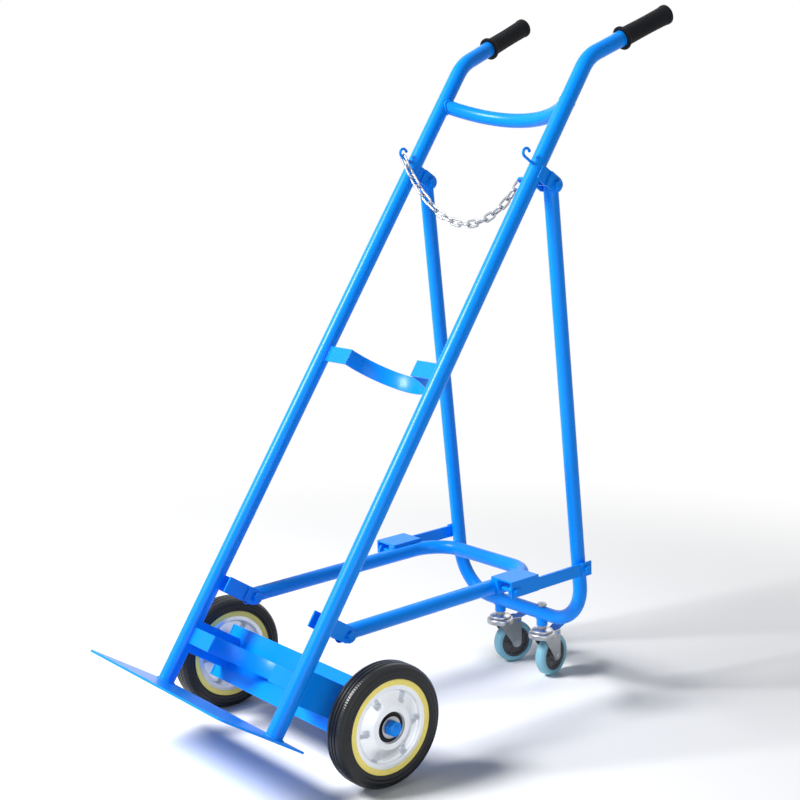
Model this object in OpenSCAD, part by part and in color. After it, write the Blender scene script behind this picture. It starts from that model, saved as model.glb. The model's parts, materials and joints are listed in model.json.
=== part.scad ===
// Gas cylinder trolley: a leaning two-rail chassis on two large wheels,
// propped by a folding rear leg frame that rolls on two braked casters.
// Millimetres, +Z up. The toe plate faces -Y and the handles end at +Y.

/* [Chassis] */
// Lean of the rails from the vertical, in degrees
lean = 33; // [25:0.5:38]
// Outside diameter of the rail tubes
rail_d = 35; // [30:1:40]
// Wall of the rail tubes
rail_wall = 2.5; // [1.5:0.25:3]
// Distance between the two rail axes
rail_spacing = 405; // [380:5:460]
// Length of a rail from its foot to the handle bend
rail_len = 1535; // [1450:5:1650]
// Outside diameter of the cross bar, leg and brace tubes
tube_d = 32; // [28:1:34]
// Wall of those tubes
tube_wall = 2; // [1.5:0.25:3]
// Distance of the cross bar below the handle bend
cross_bar_drop = 109; // [90:1:145]
// How far the cross bar bows to the rear
cross_bar_bow = 70; // [30:1:80]

/* [Handles] */
// Bend of a handle from its rail, in degrees
handle_bend = 33.5; // [20:0.5:45]
// Turn of the bend plane outwards, in degrees
handle_splay = 11; // [0:0.5:20]
// Radius of the handle bend
handle_bend_r = 90; // [60:1:120]
// Length of a handle from the bend point to the end of its grip
handle_len = 242; // [230:1:280]
// Length of a grip
grip_len = 142; // [110:1:150]
// Diameter of a grip
grip_d = 42; // [40:0.5:48]

/* [Saddles and toe plate] */
// Inner radius of the saddles
saddle_r = 112; // [100:1:118]
// Height of a saddle strip
saddle_h = 36; // [25:1:60]
// Thickness of a saddle strip
saddle_t = 4; // [3:0.5:6]
// Middle of the lower saddle along the rails
lower_saddle_u = 108; // [95:1:240]
// Middle of the upper saddle along the rails
upper_saddle_u = 781; // [700:5:900]
// Width of the toe plate
toe_w = 510; // [480:5:560]
// Reach of the toe plate in front of the rail axes
toe_front = 172; // [140:1:200]
// Reach of the toe plate behind the rail axes
toe_back = 40; // [25:1:45]
// Thickness of the toe plate
toe_t = 4.5; // [4:0.5:8]

/* [Wheels] */
// Diameter of a wheel over its tyre
wheel_d = 250; // [240:2:260]
// Width of a tyre
tyre_w = 50; // [44:1:54]
// Middle of a wheel, out from the middle of the trolley
wheel_x = 284; // [280:1:300]
// Place of the axle along the rails
axle_u = 107; // [95:1:120]
// Place of the axle behind the rail axes
axle_v = 170; // [166:1:185]
// Diameter of the axle
axle_d = 20; // [16:1:22]
// Height of the tyre's section
tyre_h = 29.5; // [26:0.5:33]
// Thickness of the band between tyre and hub
band_t = 12; // [9:0.5:15]
// Number of pockets in each hub face
hub_pockets = 6; // [5:1:8]

/* [Axle carrier] */
// Height of the axle plate along the rails
axle_plate_h = 118; // [100:2:140]
// Thickness of the axle plate and its brackets
bracket_t = 5; // [4:0.5:6]

/* [Leg frame] */
// Place of the leg pivot along the rails
leg_pivot_u = 1252; // [1230:2:1270]
// Place of the leg pivot behind the rail axes
leg_pivot_v = 51; // [48:1:56]
// Distance between the two leg axes
leg_spacing = 410; // [405:1:415]
// Tilt of the legs from the vertical, in degrees
leg_tilt = 6.2; // [4:0.1:8]
// Radius of the lower corners of the leg frame
leg_corner_r = 100; // [60:2:120]
// Diameter of the pivot bolts
pivot_d = 12; // [10:1:14]

/* [Folding brace] */
// Place of the brace pivot along the rails
brace_pivot_u = 235; // [225:1:245]
// Place of the brace pivot behind the rail axes
brace_pivot_v = 80; // [76:1:90]
// Distance between the two arms of the brace bow
bow_spacing = 336; // [325:1:340]
// Distance from the brace pivot to the knee
arm_len = 405; // [390:1:420]
// Distance from the knee to the cross run of the bow
bow_reach = 122; // [90:1:130]
// Radius of the corners of the bow
bow_corner_r = 80; // [50:1:110]
// Distance from the leg pivot to the link pivot on the leg
link_pivot_drop = 852; // [835:1:860]
// Height of a link bar
link_h = 28; // [24:1:32]
// Thickness of a link bar
link_t = 6; // [4:0.5:8]

/* [Casters] */
// Diameter of a caster wheel
caster_d = 100; // [90:1:105]
// Width of a caster tread
caster_w = 26; // [22:1:30]
// Distance of the wheel axle behind the swivel axis
caster_trail = 36; // [30:1:42]
// Overall height from the floor to the leg tube's axis
caster_total = 160; // [154:1:175]
// Place of a caster, out from the middle of the trolley
caster_x = 72; // [68:1:90]
// Turn of the left caster about its stem, in degrees
left_caster_turn = -14; // [-30:1:30]
// Turn of the right caster about its stem, in degrees
right_caster_turn = 9; // [-30:1:30]

/* [Chain and hooks] */
// Wire of a chain link
chain_wire = 5; // [4:0.5:5]
// Inside length of a chain link
chain_pitch = 28; // [27:0.25:29]
// Inside width of a chain link
chain_inner_w = 9; // [8.5:0.25:10]
// Number of chain links, an odd number
chain_links = 17; // [17:2:21]
// Place of the hooks along the rails
hook_u = 1262; // [1255:1:1285]
// Length of a hook from the rail to its curl
hook_stem = 24; // [22:0.5:30]
// Radius of the curl of a hook
hook_curl_r = 9; // [9:0.5:12]
// Diameter of a hook rod
hook_rod = 6; // [5:0.5:6.5]

/* [Fits] */
// Radial clearance of a running fit
run_gap = 0.05; // [0.03:0.01:0.08]
// Side clearance between moving parts
side_gap = 0.6; // [0.4:0.1:1]

/* [Hidden] */
$fn = 64;
blue = "#0a78f0";
zinc = "#c8ccd0";
black = "#161618";
yellow = "#f0dc64";
tread_grey = "#9ab6c0";
rail_r = rail_d / 2;
tube_r = tube_d / 2;
rail_x = rail_spacing / 2;
leg_x = leg_spacing / 2;
bow_x = bow_spacing / 2;
weld = 0.02;
bend_swell = 0.05;
bend_lap = 0.5;
grip_cap = 4;
handle_cut = handle_bend_r * tan(handle_bend / 2);
cross_bar_u = rail_len - cross_bar_drop;

// Chassis frame: u runs up the rails, v runs to the rear, and the foot is at u = v = 0.
foot_z = wheel_d / 2 - axle_u * cos(lean) + axle_v * sin(lean);
handle_v = sin(handle_bend) * cos(handle_splay);
handle_u = cos(handle_bend);
handle_y = handle_u * sin(lean) + handle_v * cos(lean);
grip_end_r = grip_d / 2 + 1;
rear_y = rail_len * sin(lean) + handle_len * handle_y + grip_end_r * sqrt(1 - pow(handle_y, 2));
front_y = -toe_t * sin(lean) - toe_front * cos(lean);
foot_y = -(rear_y + front_y) / 2;
function chassis_y(u, v) = foot_y + u * sin(lean) + v * cos(lean);
function chassis_z(u, v) = foot_z + u * cos(lean) - v * sin(lean);

// Folding linkage, in the Y-Z plane
leg_pivot = [0, chassis_y(leg_pivot_u, leg_pivot_v), chassis_z(leg_pivot_u, leg_pivot_v)];
brace_pivot = [0, chassis_y(brace_pivot_u, brace_pivot_v), chassis_z(brace_pivot_u, brace_pivot_v)];
leg_len = (leg_pivot[2] - caster_total) / cos(leg_tilt);
link_pivot = leg_pivot + link_pivot_drop * [0, sin(leg_tilt), -cos(leg_tilt)];
brace_rise = atan2(link_pivot[2] - brace_pivot[2], link_pivot[1] - brace_pivot[1]);
knee = brace_pivot + arm_len * [0, cos(brace_rise), sin(brace_rise)];
link_len = norm(link_pivot - knee);
link_x = leg_x + tube_r + 2 * side_gap;
caster_y = leg_pivot[1] + leg_len * sin(leg_tilt);

// Wheel and axle
band_d = wheel_d - 2 * tyre_h;
hub_d = band_d - 2 * band_t;
axle_pos = [0, chassis_y(axle_u, axle_v), wheel_d / 2];
hub_inset = 3;
hub_w = tyre_w - 2 * hub_inset;
hub_rim = 9;
boss_d = 88;
bearing_od = 64;
bearing_w = 12;
bearing_recess = 5;
bearing_face = tyre_w / 2 - bearing_recess;
spacer_d = 30;
washer_d = 44;
washer_t = 3;
nut_across = 28;
nut_h = 14;
axle_tip = 2;
bracket_x = 236;
plate_gap = 4;
axle_plate_v = saddle_r + saddle_t + plate_gap;
plate_half = bracket_x - bracket_t / 2 - weld;
axle_end = wheel_x + bearing_face + side_gap + washer_t + nut_h + axle_tip;

// Clevises, knees and links
ear_t = 4;
ear_gap = tube_r + side_gap;
clevis_drop = 18;
end_swing = tube_r * sqrt(2) + 1;
knee_d = 10;
link_pad_t = 3;
cheek_t = 4;
knee_wall = 2;
cheek_x = link_x + link_t + side_gap;
bolt_head = 0.6;
bolt_across = 1.6;

// Casters
caster_axle_z = caster_d / 2;
crown_gap = 14;
fork_top_z = caster_d + crown_gap;
cup_h = 9;
cup_d = 64;
fork_t = 2.5;
fork_gap = 3;
fork_in = caster_w / 2 + fork_gap;
stem_d = 12;
stem_nut_h = 8;
stem_nut_z = fork_top_z + side_gap + cup_h - 1;
socket_d = 26;
socket_z = stem_nut_z + stem_nut_h + weld;
core_d = 74;
caster_axle_d = 8;
pedal_w = 26;
pedal_pin_d = 6;
pedal_pin = [0, caster_trail + 4, fork_top_z - 10];

// Chain, as a catenary from the left hook to the right eye
link_gap = 0.4;
end_gap = 1.4;
end_ball = 1;
eye_r = 13;
eye_gap = 4;
eye_u = leg_pivot_u - clevis_drop - hook_rod / 2 - eye_gap;
hook_v = -rail_r - hook_stem;
hook_seat = 6;
seat_v = hook_v + hook_seat;
chain_a = [-rail_x, chassis_y(hook_u, seat_v), chassis_z(hook_u, seat_v)];
chain_b = [rail_x - rail_r - eye_r, chassis_y(eye_u, 0), chassis_z(eye_u, 0)];
chain_heading = atan2(chain_b[1] - chain_a[1], chain_b[0] - chain_a[0]);
chain_span = norm([chain_b[0] - chain_a[0], chain_b[1] - chain_a[1]]);
chain_rise = chain_b[2] - chain_a[2];
chain_step = chain_pitch - link_gap;
chain_first = (chain_pitch - hook_rod) / 2 - end_gap;
chain_len = 2 * chain_first + (chain_links - 1) * chain_step;
function sinh(x) = (exp(x) - exp(-x)) / 2;
function asinh(x) = ln(x + sqrt(x * x + 1));
function atanh(x) = ln((1 + x) / (1 - x)) / 2;
chain_chord = sqrt(pow(chain_len, 2) - pow(chain_rise, 2));
function slack(a) = 2 * a * sinh(chain_span / (2 * a)) - chain_chord;
function solve(lo, hi, n) =
    n == 0 ? (lo + hi) / 2
    : slack((lo + hi) / 2) > 0 ? solve((lo + hi) / 2, hi, n - 1)
    : solve(lo, (lo + hi) / 2, n - 1);
chain_sag_a = solve(30, 3000, 40);
chain_low_x = chain_span / 2 - chain_sag_a * atanh(chain_rise / chain_len);
chain_s0 = chain_sag_a * sinh(-chain_low_x / chain_sag_a);
function chain_x(s) = chain_low_x + chain_sag_a * asinh(s / chain_sag_a);
function chain_z(s) = sqrt(pow(chain_sag_a, 2) + s * s) - sqrt(pow(chain_sag_a, 2) + pow(chain_s0, 2));
function chain_slope(s) = atan(s / chain_sag_a);

// Shared shapes

// Places its children in the chassis frame: x across, y to the rear, z up the rails.
module leaned() {
    translate([0, foot_y, foot_z]) rotate([-lean, 0, 0]) children();
}

// Turns a piece made for the right side into the one for this side.
module sided(side) {
    mirror([side > 0 ? 0 : 1, 0, 0]) children();
}

module pipe(d, wall, len) {
    difference() {
        cylinder(d = d, h = len);
        translate([0, 0, -1]) cylinder(d = d - 2 * wall, h = len + 2);
    }
}

// A tube bend that starts at the origin along +Z and turns towards +X. It is a touch
// thicker than the tube, so that the straight parts can lap into it.
module elbow(d, wall, r, angle) {
    translate([r, 0, 0]) rotate([90, 0, 0]) rotate([0, 0, 180 - angle]) rotate_extrude(angle = angle)
        translate([r, 0]) difference() {
            circle(d = d + 2 * bend_swell);
            circle(d = d - 2 * wall - 2 * bend_swell);
        }
}

module after_elbow(r, angle) {
    translate([r * (1 - cos(angle)), 0, r * sin(angle)]) rotate([0, angle, 0]) children();
}

// A tube bent to a U in the X-Z plane: the run lies at z = 0 and the arms point up.
module u_tube(width, arm, r) {
    for (side = [-1, 1]) {
        translate([side * width / 2, 0, r]) pipe(tube_d, tube_wall, arm - r);
        translate([side * (width / 2 - r), 0, r]) rotate([90, 0, 0]) rotate([0, 0, side > 0 ? -90 : 180])
            rotate_extrude(angle = 90) translate([r, 0]) difference() {
                circle(d = tube_d);
                circle(d = tube_d - 2 * tube_wall);
            }
    }
    translate([-(width / 2 - r), 0, 0]) rotate([0, 90, 0]) pipe(tube_d, tube_wall, width - 2 * r);
}

// A rod along X, centred on its middle.
module cross_rod(d, len) {
    rotate([0, 90, 0]) cylinder(d = d, h = len, center = true);
}

// A plate lying across X, with its outline in the Y-Z plane.
module cross_plate(t) {
    rotate([90, 0, 90]) translate([0, 0, -t / 2]) linear_extrude(t) children();
}

module hexagon(across) {
    circle(d = across / cos(30), $fn = 6);
}

// A bolt along X: its head is at +X and its nut at -X, and grip is what it clamps.
module cross_bolt(d, grip) {
    head_h = d * bolt_head;
    cross_rod(d, grip);
    translate([grip / 2, 0, 0]) rotate([0, 90, 0]) linear_extrude(head_h) hexagon(d * bolt_across);
    translate([-grip / 2 - head_h, 0, 0]) rotate([0, 90, 0]) linear_extrude(head_h) hexagon(d * bolt_across);
}

// Chassis

module rail_tube(side) {
    straight = rail_len - handle_cut;
    sided(side) leaned() translate([rail_x, 0, 0]) {
        pipe(rail_d, rail_wall, straight + bend_lap);
        translate([0, 0, straight]) rotate([0, 0, 90 - handle_splay]) {
            elbow(rail_d, rail_wall, handle_bend_r, handle_bend);
            after_elbow(handle_bend_r, handle_bend) translate([0, 0, -bend_lap])
                pipe(rail_d, rail_wall, handle_len - handle_cut - grip_cap + bend_lap);
        }
    }
}

module left_rail() {
    color(blue) rail_tube(-1);
}

module right_rail() {
    color(blue) rail_tube(1);
}

module top_cross_bar() {
    r = (pow(rail_x, 2) + pow(cross_bar_bow, 2)) / (2 * cross_bar_bow);
    half = asin(rail_x / r);
    color(blue) leaned() difference() {
        translate([0, cross_bar_bow - r, cross_bar_u]) rotate([0, 0, 90 - half])
            rotate_extrude(angle = 2 * half) translate([r, 0]) difference() {
                circle(d = tube_d);
                circle(d = tube_d - 2 * tube_wall);
            }
        for (side = [-1, 1])
            translate([side * rail_x, 0, cross_bar_u - rail_d]) cylinder(r = rail_r + weld, h = 2 * rail_d);
        for (side = [-1, 1])
            translate([side * (rail_x + rail_r), 0, cross_bar_u])
                cube([rail_d, 4 * rail_d, rail_d], center = true);
    }
}

// A half-round strip with flat lugs that meet the rails.
module saddle(u) {
    color(blue) leaned() translate([0, 0, u - saddle_h / 2]) difference() {
        linear_extrude(saddle_h) {
            difference() {
                circle(r = saddle_r + saddle_t);
                circle(r = saddle_r);
                translate([-2 * saddle_r, -2 * saddle_r]) square([4 * saddle_r, 2 * saddle_r]);
            }
            for (side = [-1, 1])
                translate([side > 0 ? saddle_r : -rail_x, 0]) square([rail_x - saddle_r, saddle_t]);
        }
        for (side = [-1, 1])
            translate([side * rail_x, 0, -1]) cylinder(r = rail_r + weld, h = saddle_h + 2);
    }
}

module upper_saddle() {
    saddle(upper_saddle_u);
}

module lower_saddle() {
    saddle(lower_saddle_u);
}

module toe_plate() {
    corner = 18;
    color(blue) leaned() translate([0, 0, -toe_t]) linear_extrude(toe_t - weld) difference() {
        translate([-toe_w / 2, -toe_front]) square([toe_w, toe_front + toe_back]);
        for (side = [-1, 1])
            translate([side * (toe_w / 2 - corner), corner - toe_front]) difference() {
                translate([side > 0 ? 0 : -corner - 1, -corner - 1]) square(corner + 1);
                circle(r = corner);
            }
    }
}

// Axle carrier

module axle_plate() {
    flange = 24;
    low = axle_u - axle_plate_h / 2;
    cheek_h = 70;
    cheek_x = 18;
    color(blue) leaned() {
        translate([-plate_half, axle_plate_v, low]) cube([2 * plate_half, bracket_t, axle_plate_h]);
        for (top = [0, 1])
            translate([-plate_half, axle_plate_v, low + top * (axle_plate_h - bracket_t)])
                cube([2 * plate_half, flange, bracket_t]);
        for (side = [-1, 1])
            difference() {
                for (cheek = [-1, 1])
                    translate([side * rail_x + cheek * cheek_x / 2 - bracket_t / 2, 0, axle_u - cheek_h / 2])
                        cube([bracket_t, axle_plate_v + 1, cheek_h]);
                translate([side * rail_x, 0, 0]) cylinder(r = rail_r + weld, h = 2 * axle_plate_h);
            }
    }
}

module axle_bracket(side) {
    tip_r = 30;
    color(blue) sided(side) leaned() translate([bracket_x, 0, axle_u]) difference() {
        cross_plate(bracket_t) {
            polygon([
                [axle_plate_v, -axle_plate_h / 2], [axle_v, -tip_r],
                [axle_v, tip_r], [axle_plate_v, axle_plate_h / 2]
            ]);
            translate([axle_v, 0]) circle(r = tip_r);
        }
        translate([0, axle_v, 0]) cross_rod(axle_d + 2 * weld, 4 * bracket_t);
    }
}

module left_axle_bracket() {
    axle_bracket(-1);
}

module right_axle_bracket() {
    axle_bracket(1);
}

module axle() {
    color(zinc) translate(axle_pos) cross_rod(axle_d, 2 * axle_end);
}

// A ring along X around the axle, from x0 to x1 on the given side.
module axle_ring(side, od, x0, x1) {
    sided(side) translate(axle_pos) translate([x0, 0, 0]) rotate([0, 90, 0])
        difference() {
            cylinder(d = od, h = x1 - x0);
            translate([0, 0, -1]) cylinder(d = axle_d + 2 * weld, h = x1 - x0 + 2);
        }
}

module axle_spacers() {
    color(zinc) for (side = [-1, 1])
        axle_ring(side, spacer_d, bracket_x + bracket_t / 2 + weld, wheel_x - bearing_face - side_gap);
}

module axle_washers() {
    start = wheel_x + bearing_face + side_gap;
    color(zinc) for (side = [-1, 1])
        axle_ring(side, washer_d, start, start + washer_t);
}

module axle_nuts() {
    start = wheel_x + bearing_face + side_gap + washer_t + weld;
    color(blue) for (side = [-1, 1])
        sided(side) translate(axle_pos) translate([start, 0, 0]) rotate([0, 90, 0])
            difference() {
                linear_extrude(nut_h) hexagon(nut_across);
                translate([0, 0, -1]) cylinder(d = axle_d + 2 * weld, h = nut_h + 2);
            }
}

// Grips, hooks and eye

module grip(side) {
    start = handle_len - handle_cut - grip_len;
    flange = 5;
    grip_r = grip_d / 2;
    color(black) sided(side) leaned() translate([rail_x, 0, rail_len - handle_cut])
        rotate([0, 0, 90 - handle_splay]) after_elbow(handle_bend_r, handle_bend)
        translate([0, 0, start]) difference() {
            rotate_extrude() polygon([
                [0, 0], [grip_r + flange, 0], [grip_r + flange, flange], [grip_r, flange + 3],
                [grip_r - 0.8, grip_len / 2], [grip_end_r, grip_len - 8], [grip_end_r, grip_len - 3],
                [grip_r - 2, grip_len], [0, grip_len]
            ]);
            translate([0, 0, -1]) cylinder(r = rail_r + weld, h = grip_len - grip_cap + 1 + weld);
        }
}

module left_grip() {
    grip(-1);
}

module right_grip() {
    grip(1);
}

// A rod that leaves the front of a rail and curls up and back to a small ball.
module hook(side) {
    curl = 215;
    color(blue) sided(side) leaned() translate([rail_x, 0, hook_u]) difference() {
        union() {
            rotate([90, 0, 0]) cylinder(d = hook_rod, h = bend_lap - hook_v);
            translate([0, hook_v, hook_curl_r]) rotate([0, -90, 0]) rotate([0, 0, 180]) {
                rotate_extrude(angle = curl) translate([hook_curl_r, 0])
                    circle(d = hook_rod + 2 * bend_swell);
                rotate([0, 0, curl]) translate([hook_curl_r, 0, 0]) sphere(d = hook_rod + end_ball);
            }
        }
        translate([0, 0, -rail_d]) cylinder(r = rail_r + weld, h = 2 * rail_d);
    }
}

module left_hook() {
    hook(-1);
}

module right_hook() {
    hook(1);
}

module chain_eye() {
    color(blue) leaned() difference() {
        translate([rail_x - rail_r, 0, eye_u]) rotate_extrude() translate([eye_r, 0]) circle(d = hook_rod);
        translate([rail_x, 0, eye_u - rail_d]) cylinder(r = rail_r + weld, h = 2 * rail_d);
        translate([rail_x, -rail_d, eye_u - rail_d]) cube(2 * rail_d);
    }
}

// Clevises on the rails

// Two ears around a pivot in the chassis frame, on a folded box behind the rail.
module clevis(side, x, u, v) {
    ear_r = 16;
    h = clevis_drop + ear_r;
    web_v = v - end_swing - ear_t;
    foot_half = 10;
    box_x = min(rail_x - foot_half, x - ear_gap);
    box_w = max(rail_x, x + ear_gap) - box_x;
    color(blue) sided(side) leaned() translate([0, 0, u]) difference() {
        union() {
            for (ear = [-1, 1])
                translate([x + ear * (ear_gap + ear_t / 2), 0, 0]) cross_plate(ear_t) {
                    translate([web_v, -clevis_drop]) square([v - web_v, h]);
                    translate([v, 0]) circle(r = ear_r);
                }
            difference() {
                translate([box_x, 0, -clevis_drop]) cube([box_w, web_v + ear_t, h]);
                translate([box_x + ear_t, -1, -clevis_drop - 1])
                    cube([box_w - 2 * ear_t, web_v + 1, h + 2]);
            }
        }
        translate([rail_x, 0, -2 * h]) cylinder(r = rail_r + weld, h = 4 * h);
        translate([x, v, 0]) cross_rod(pivot_d + 2 * weld, 4 * tube_d);
    }
}

module left_leg_clevis() {
    clevis(-1, leg_x, leg_pivot_u, leg_pivot_v);
}

module right_leg_clevis() {
    clevis(1, leg_x, leg_pivot_u, leg_pivot_v);
}

module left_brace_clevis() {
    clevis(-1, bow_x, brace_pivot_u, brace_pivot_v);
}

module right_brace_clevis() {
    clevis(1, bow_x, brace_pivot_u, brace_pivot_v);
}

module clevis_bolts(pivot, x) {
    color(blue) for (side = [-1, 1])
        sided(side) translate(pivot + [x, 0, 0]) cross_bolt(pivot_d, 2 * (ear_gap + ear_t));
}

module leg_pivot_bolts() {
    clevis_bolts(leg_pivot, leg_x);
}

module brace_pivot_bolts() {
    clevis_bolts(brace_pivot, bow_x);
}

// Wheels

// Turns its children, made around +Z, onto the axle of the wheel on this side.
module on_wheel(side) {
    translate(axle_pos) sided(side) translate([wheel_x, 0, 0]) rotate([0, 90, 0]) children();
}

// A cast disc: a flat boss, a cone that falls away to a raised rim, and pockets in both faces.
module hub(side) {
    boss_r = boss_d / 2;
    rim_r = hub_d / 2 - hub_rim;
    half = hub_w / 2;
    web = half - 9;
    pocket = [20, 13];
    pocket_bottom = web - 6;
    color(zinc) on_wheel(side) difference() {
        rotate_extrude() polygon([
            [0, -tyre_w / 2], [boss_r, -tyre_w / 2], [rim_r - 3, -web], [rim_r, -half], [hub_d / 2, -half],
            [hub_d / 2, half], [rim_r, half], [rim_r - 3, web], [boss_r, tyre_w / 2], [0, tyre_w / 2]
        ]);
        for (k = [0:hub_pockets - 1])
            rotate([0, 0, k * 360 / hub_pockets]) translate([rim_r - 3 - pocket[0], -pocket[1] / 2, 0])
                for (face = [-tyre_w / 2, pocket_bottom])
                    translate([0, 0, face]) cube([pocket[0], pocket[1], tyre_w / 2 - pocket_bottom]);
        translate([0, 0, -tyre_w]) cylinder(d = axle_d + 6, h = 2 * tyre_w);
        for (face = [-tyre_w, bearing_face - bearing_w])
            translate([0, 0, face])
                cylinder(d = bearing_od + 2 * weld, h = tyre_w - bearing_face + bearing_w);
    }
}

module left_hub() {
    hub(-1);
}

module right_hub() {
    hub(1);
}

module band(side) {
    w = tyre_w - 4;
    color(yellow) on_wheel(side) translate([0, 0, -w / 2]) difference() {
        cylinder(d = band_d, h = w);
        translate([0, 0, -1]) cylinder(d = hub_d + 2 * weld, h = w + 2);
    }
}

module left_band() {
    band(-1);
}

module right_band() {
    band(1);
}

module tyre(side) {
    edge = 7;
    crown = 1.5;
    groove = [3, 2.4];
    groove_pitch = 9;
    color(black) on_wheel(side) rotate_extrude() difference() {
        polygon([
            [band_d / 2 + weld, -tyre_w / 2], [wheel_d / 2 - edge, -tyre_w / 2],
            [wheel_d / 2 - crown, edge - tyre_w / 2], [wheel_d / 2, edge * 1.6 - tyre_w / 2],
            [wheel_d / 2, tyre_w / 2 - edge * 1.6], [wheel_d / 2 - crown, tyre_w / 2 - edge],
            [wheel_d / 2 - edge, tyre_w / 2], [band_d / 2 + weld, tyre_w / 2]
        ]);
        for (k = [-1, 0, 1])
            translate([wheel_d / 2 - groove[0], k * groove_pitch - groove[1] / 2])
                square([groove[0] + 1, groove[1]]);
    }
}

module left_tyre() {
    tyre(-1);
}

module right_tyre() {
    tyre(1);
}

// Two ball bearings in the boss, each drawn as a closed unit.
module bearings(side) {
    color(black) on_wheel(side)
        for (face = [-bearing_face, bearing_face - bearing_w])
            translate([0, 0, face]) difference() {
                cylinder(d = bearing_od, h = bearing_w - weld);
                translate([0, 0, -1]) cylinder(d = axle_d + 2 * run_gap, h = bearing_w + 2);
            }
}

module left_bearings() {
    bearings(-1);
}

module right_bearings() {
    bearings(1);
}

// Leg frame

module at_leg() {
    translate(leg_pivot) rotate([leg_tilt, 0, 0]) children();
}

module leg_frame() {
    color(blue) difference() {
        at_leg() translate([0, 0, -leg_len]) u_tube(leg_spacing, leg_len + tube_r, leg_corner_r);
        for (side = [-1, 1]) {
            translate(leg_pivot + [side * leg_x, 0, 0]) cross_rod(pivot_d + 2 * run_gap, 2 * tube_d);
            translate([side * caster_x, caster_y, 0])
                cylinder(d = stem_d + 2 * weld, h = caster_total + tube_d);
        }
    }
}

// A welded boss that takes a caster stem, coped to the leg tube.
module caster_socket(side) {
    color(blue) difference() {
        translate([side * caster_x, caster_y, socket_z]) cylinder(d = socket_d, h = caster_total - socket_z);
        translate([side * caster_x, caster_y, caster_total]) cross_rod(tube_d + 2 * weld, 2 * socket_d);
        translate([side * caster_x, caster_y, 0]) cylinder(d = stem_d + 2 * weld, h = caster_total);
    }
}

module left_caster_socket() {
    caster_socket(-1);
}

module right_caster_socket() {
    caster_socket(1);
}

// Folding brace

module at_brace() {
    translate(brace_pivot) rotate([brace_rise, 0, 0]) children();
}

module brace_bow() {
    color(blue) difference() {
        at_brace() translate([0, arm_len + bow_reach, 0]) rotate([90, 0, 0])
            u_tube(bow_spacing, arm_len + bow_reach + tube_r, bow_corner_r);
        for (side = [-1, 1])
            translate(brace_pivot + [side * bow_x, 0, 0]) cross_rod(pivot_d + 2 * run_gap, 2 * tube_d);
    }
}

// A channel over the arm and the front end of the link. Its outer cheek takes the knee bolt,
// and its top plate is the stop for the link.
module knee_bracket(side) {
    back = 13;
    len = 80;
    low = -0.8 * tube_r;
    top = link_h / 2 + 6;
    wall_x = max(tube_r + knee_wall, leg_x - tube_r - side_gap - bow_x);
    color(blue) sided(side) at_brace() translate([bow_x, arm_len - back, 0]) difference() {
        union() {
            translate([0, 0, low]) cube([wall_x, len, top + cheek_t - low]);
            translate([0, 0, top]) cube([cheek_x + cheek_t - bow_x, len, cheek_t]);
            translate([cheek_x - bow_x, 0, low]) cube([cheek_t, len, top + cheek_t - low]);
        }
        translate([0, -1, 0]) rotate([-90, 0, 0]) cylinder(r = tube_r + weld, h = len + 2);
        translate([0, back, 0]) cross_rod(knee_d + 2 * weld, 4 * link_x);
    }
}

module left_knee_bracket() {
    knee_bracket(-1);
}

module right_knee_bracket() {
    knee_bracket(1);
}

module knee_bolts() {
    start = bow_x + tube_r + side_gap;
    stop = cheek_x + cheek_t + weld;
    color(blue) for (side = [-1, 1])
        sided(side) translate(knee) {
            translate([start, 0, 0]) rotate([0, 90, 0]) cylinder(d = knee_d, h = stop - start);
            translate([stop, 0, 0]) rotate([0, 90, 0])
                linear_extrude(knee_d * bolt_head) hexagon(knee_d * bolt_across);
        }
}

// A flat bar outside the brace arm and the leg, with a doubling plate at its leg end.
module link_bar(side) {
    pad = [link_pad_t, 30, link_h + 4];
    color(blue) sided(side) translate(knee) rotate([brace_rise, 0, 0]) difference() {
        union() {
            translate([link_x + link_t / 2, 0, 0]) cross_plate(link_t) {
                circle(d = link_h);
                translate([0, -link_h / 2]) square([link_len + pad[1] / 2, link_h]);
            }
            translate([link_x + link_t - 1, link_len - pad[1] / 2, -pad[2] / 2])
                cube([pad[0] + 1, pad[1], pad[2]]);
        }
        cross_rod(knee_d + 2 * run_gap, 4 * link_x);
    }
}

module left_link() {
    link_bar(-1);
}

module right_link() {
    link_bar(1);
}

module link_rivets() {
    color(blue) for (side = [-1, 1])
        sided(side) translate(link_pivot + [link_x + link_t + link_pad_t + weld, 0, 0])
            rotate([0, 90, 0]) linear_extrude(knee_d * bolt_head) hexagon(knee_d * bolt_across);
}

// Casters

// Places its children, made around the stem at the origin, on the caster of this side.
module on_caster(side, turned = true) {
    turn = side > 0 ? right_caster_turn : left_caster_turn;
    translate([side * caster_x, caster_y, 0]) rotate([0, 0, turned ? turn : 0]) children();
}

// Stem, top cup and nuts. The stem is the kingpin of the fork and ends in a head below it.
module caster_stem(side) {
    head_h = 5;
    low = fork_top_z - fork_t - side_gap - head_h;
    color(zinc) on_caster(side, false) {
        translate([0, 0, low]) cylinder(d = 1.7 * stem_d, h = head_h);
        translate([0, 0, low]) cylinder(d = stem_d, h = caster_total + tube_r + stem_nut_h + 2 - low);
        translate([0, 0, fork_top_z + side_gap]) cylinder(d = cup_d * 0.8, h = cup_h);
        translate([0, 0, stem_nut_z]) linear_extrude(stem_nut_h) hexagon(stem_d * bolt_across);
        translate([0, 0, caster_total + tube_r + weld])
            linear_extrude(stem_nut_h) hexagon(stem_d * bolt_across);
    }
}

module left_caster_stem() {
    caster_stem(-1);
}

module right_caster_stem() {
    caster_stem(1);
}

// Half the section of a disc on z = 0 whose upper edge is rounded.
module rounded_disc(r, h, edge) {
    square([r - edge, h]);
    square([r, h - edge]);
    translate([r - edge, h - edge]) circle(r = edge);
}

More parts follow.
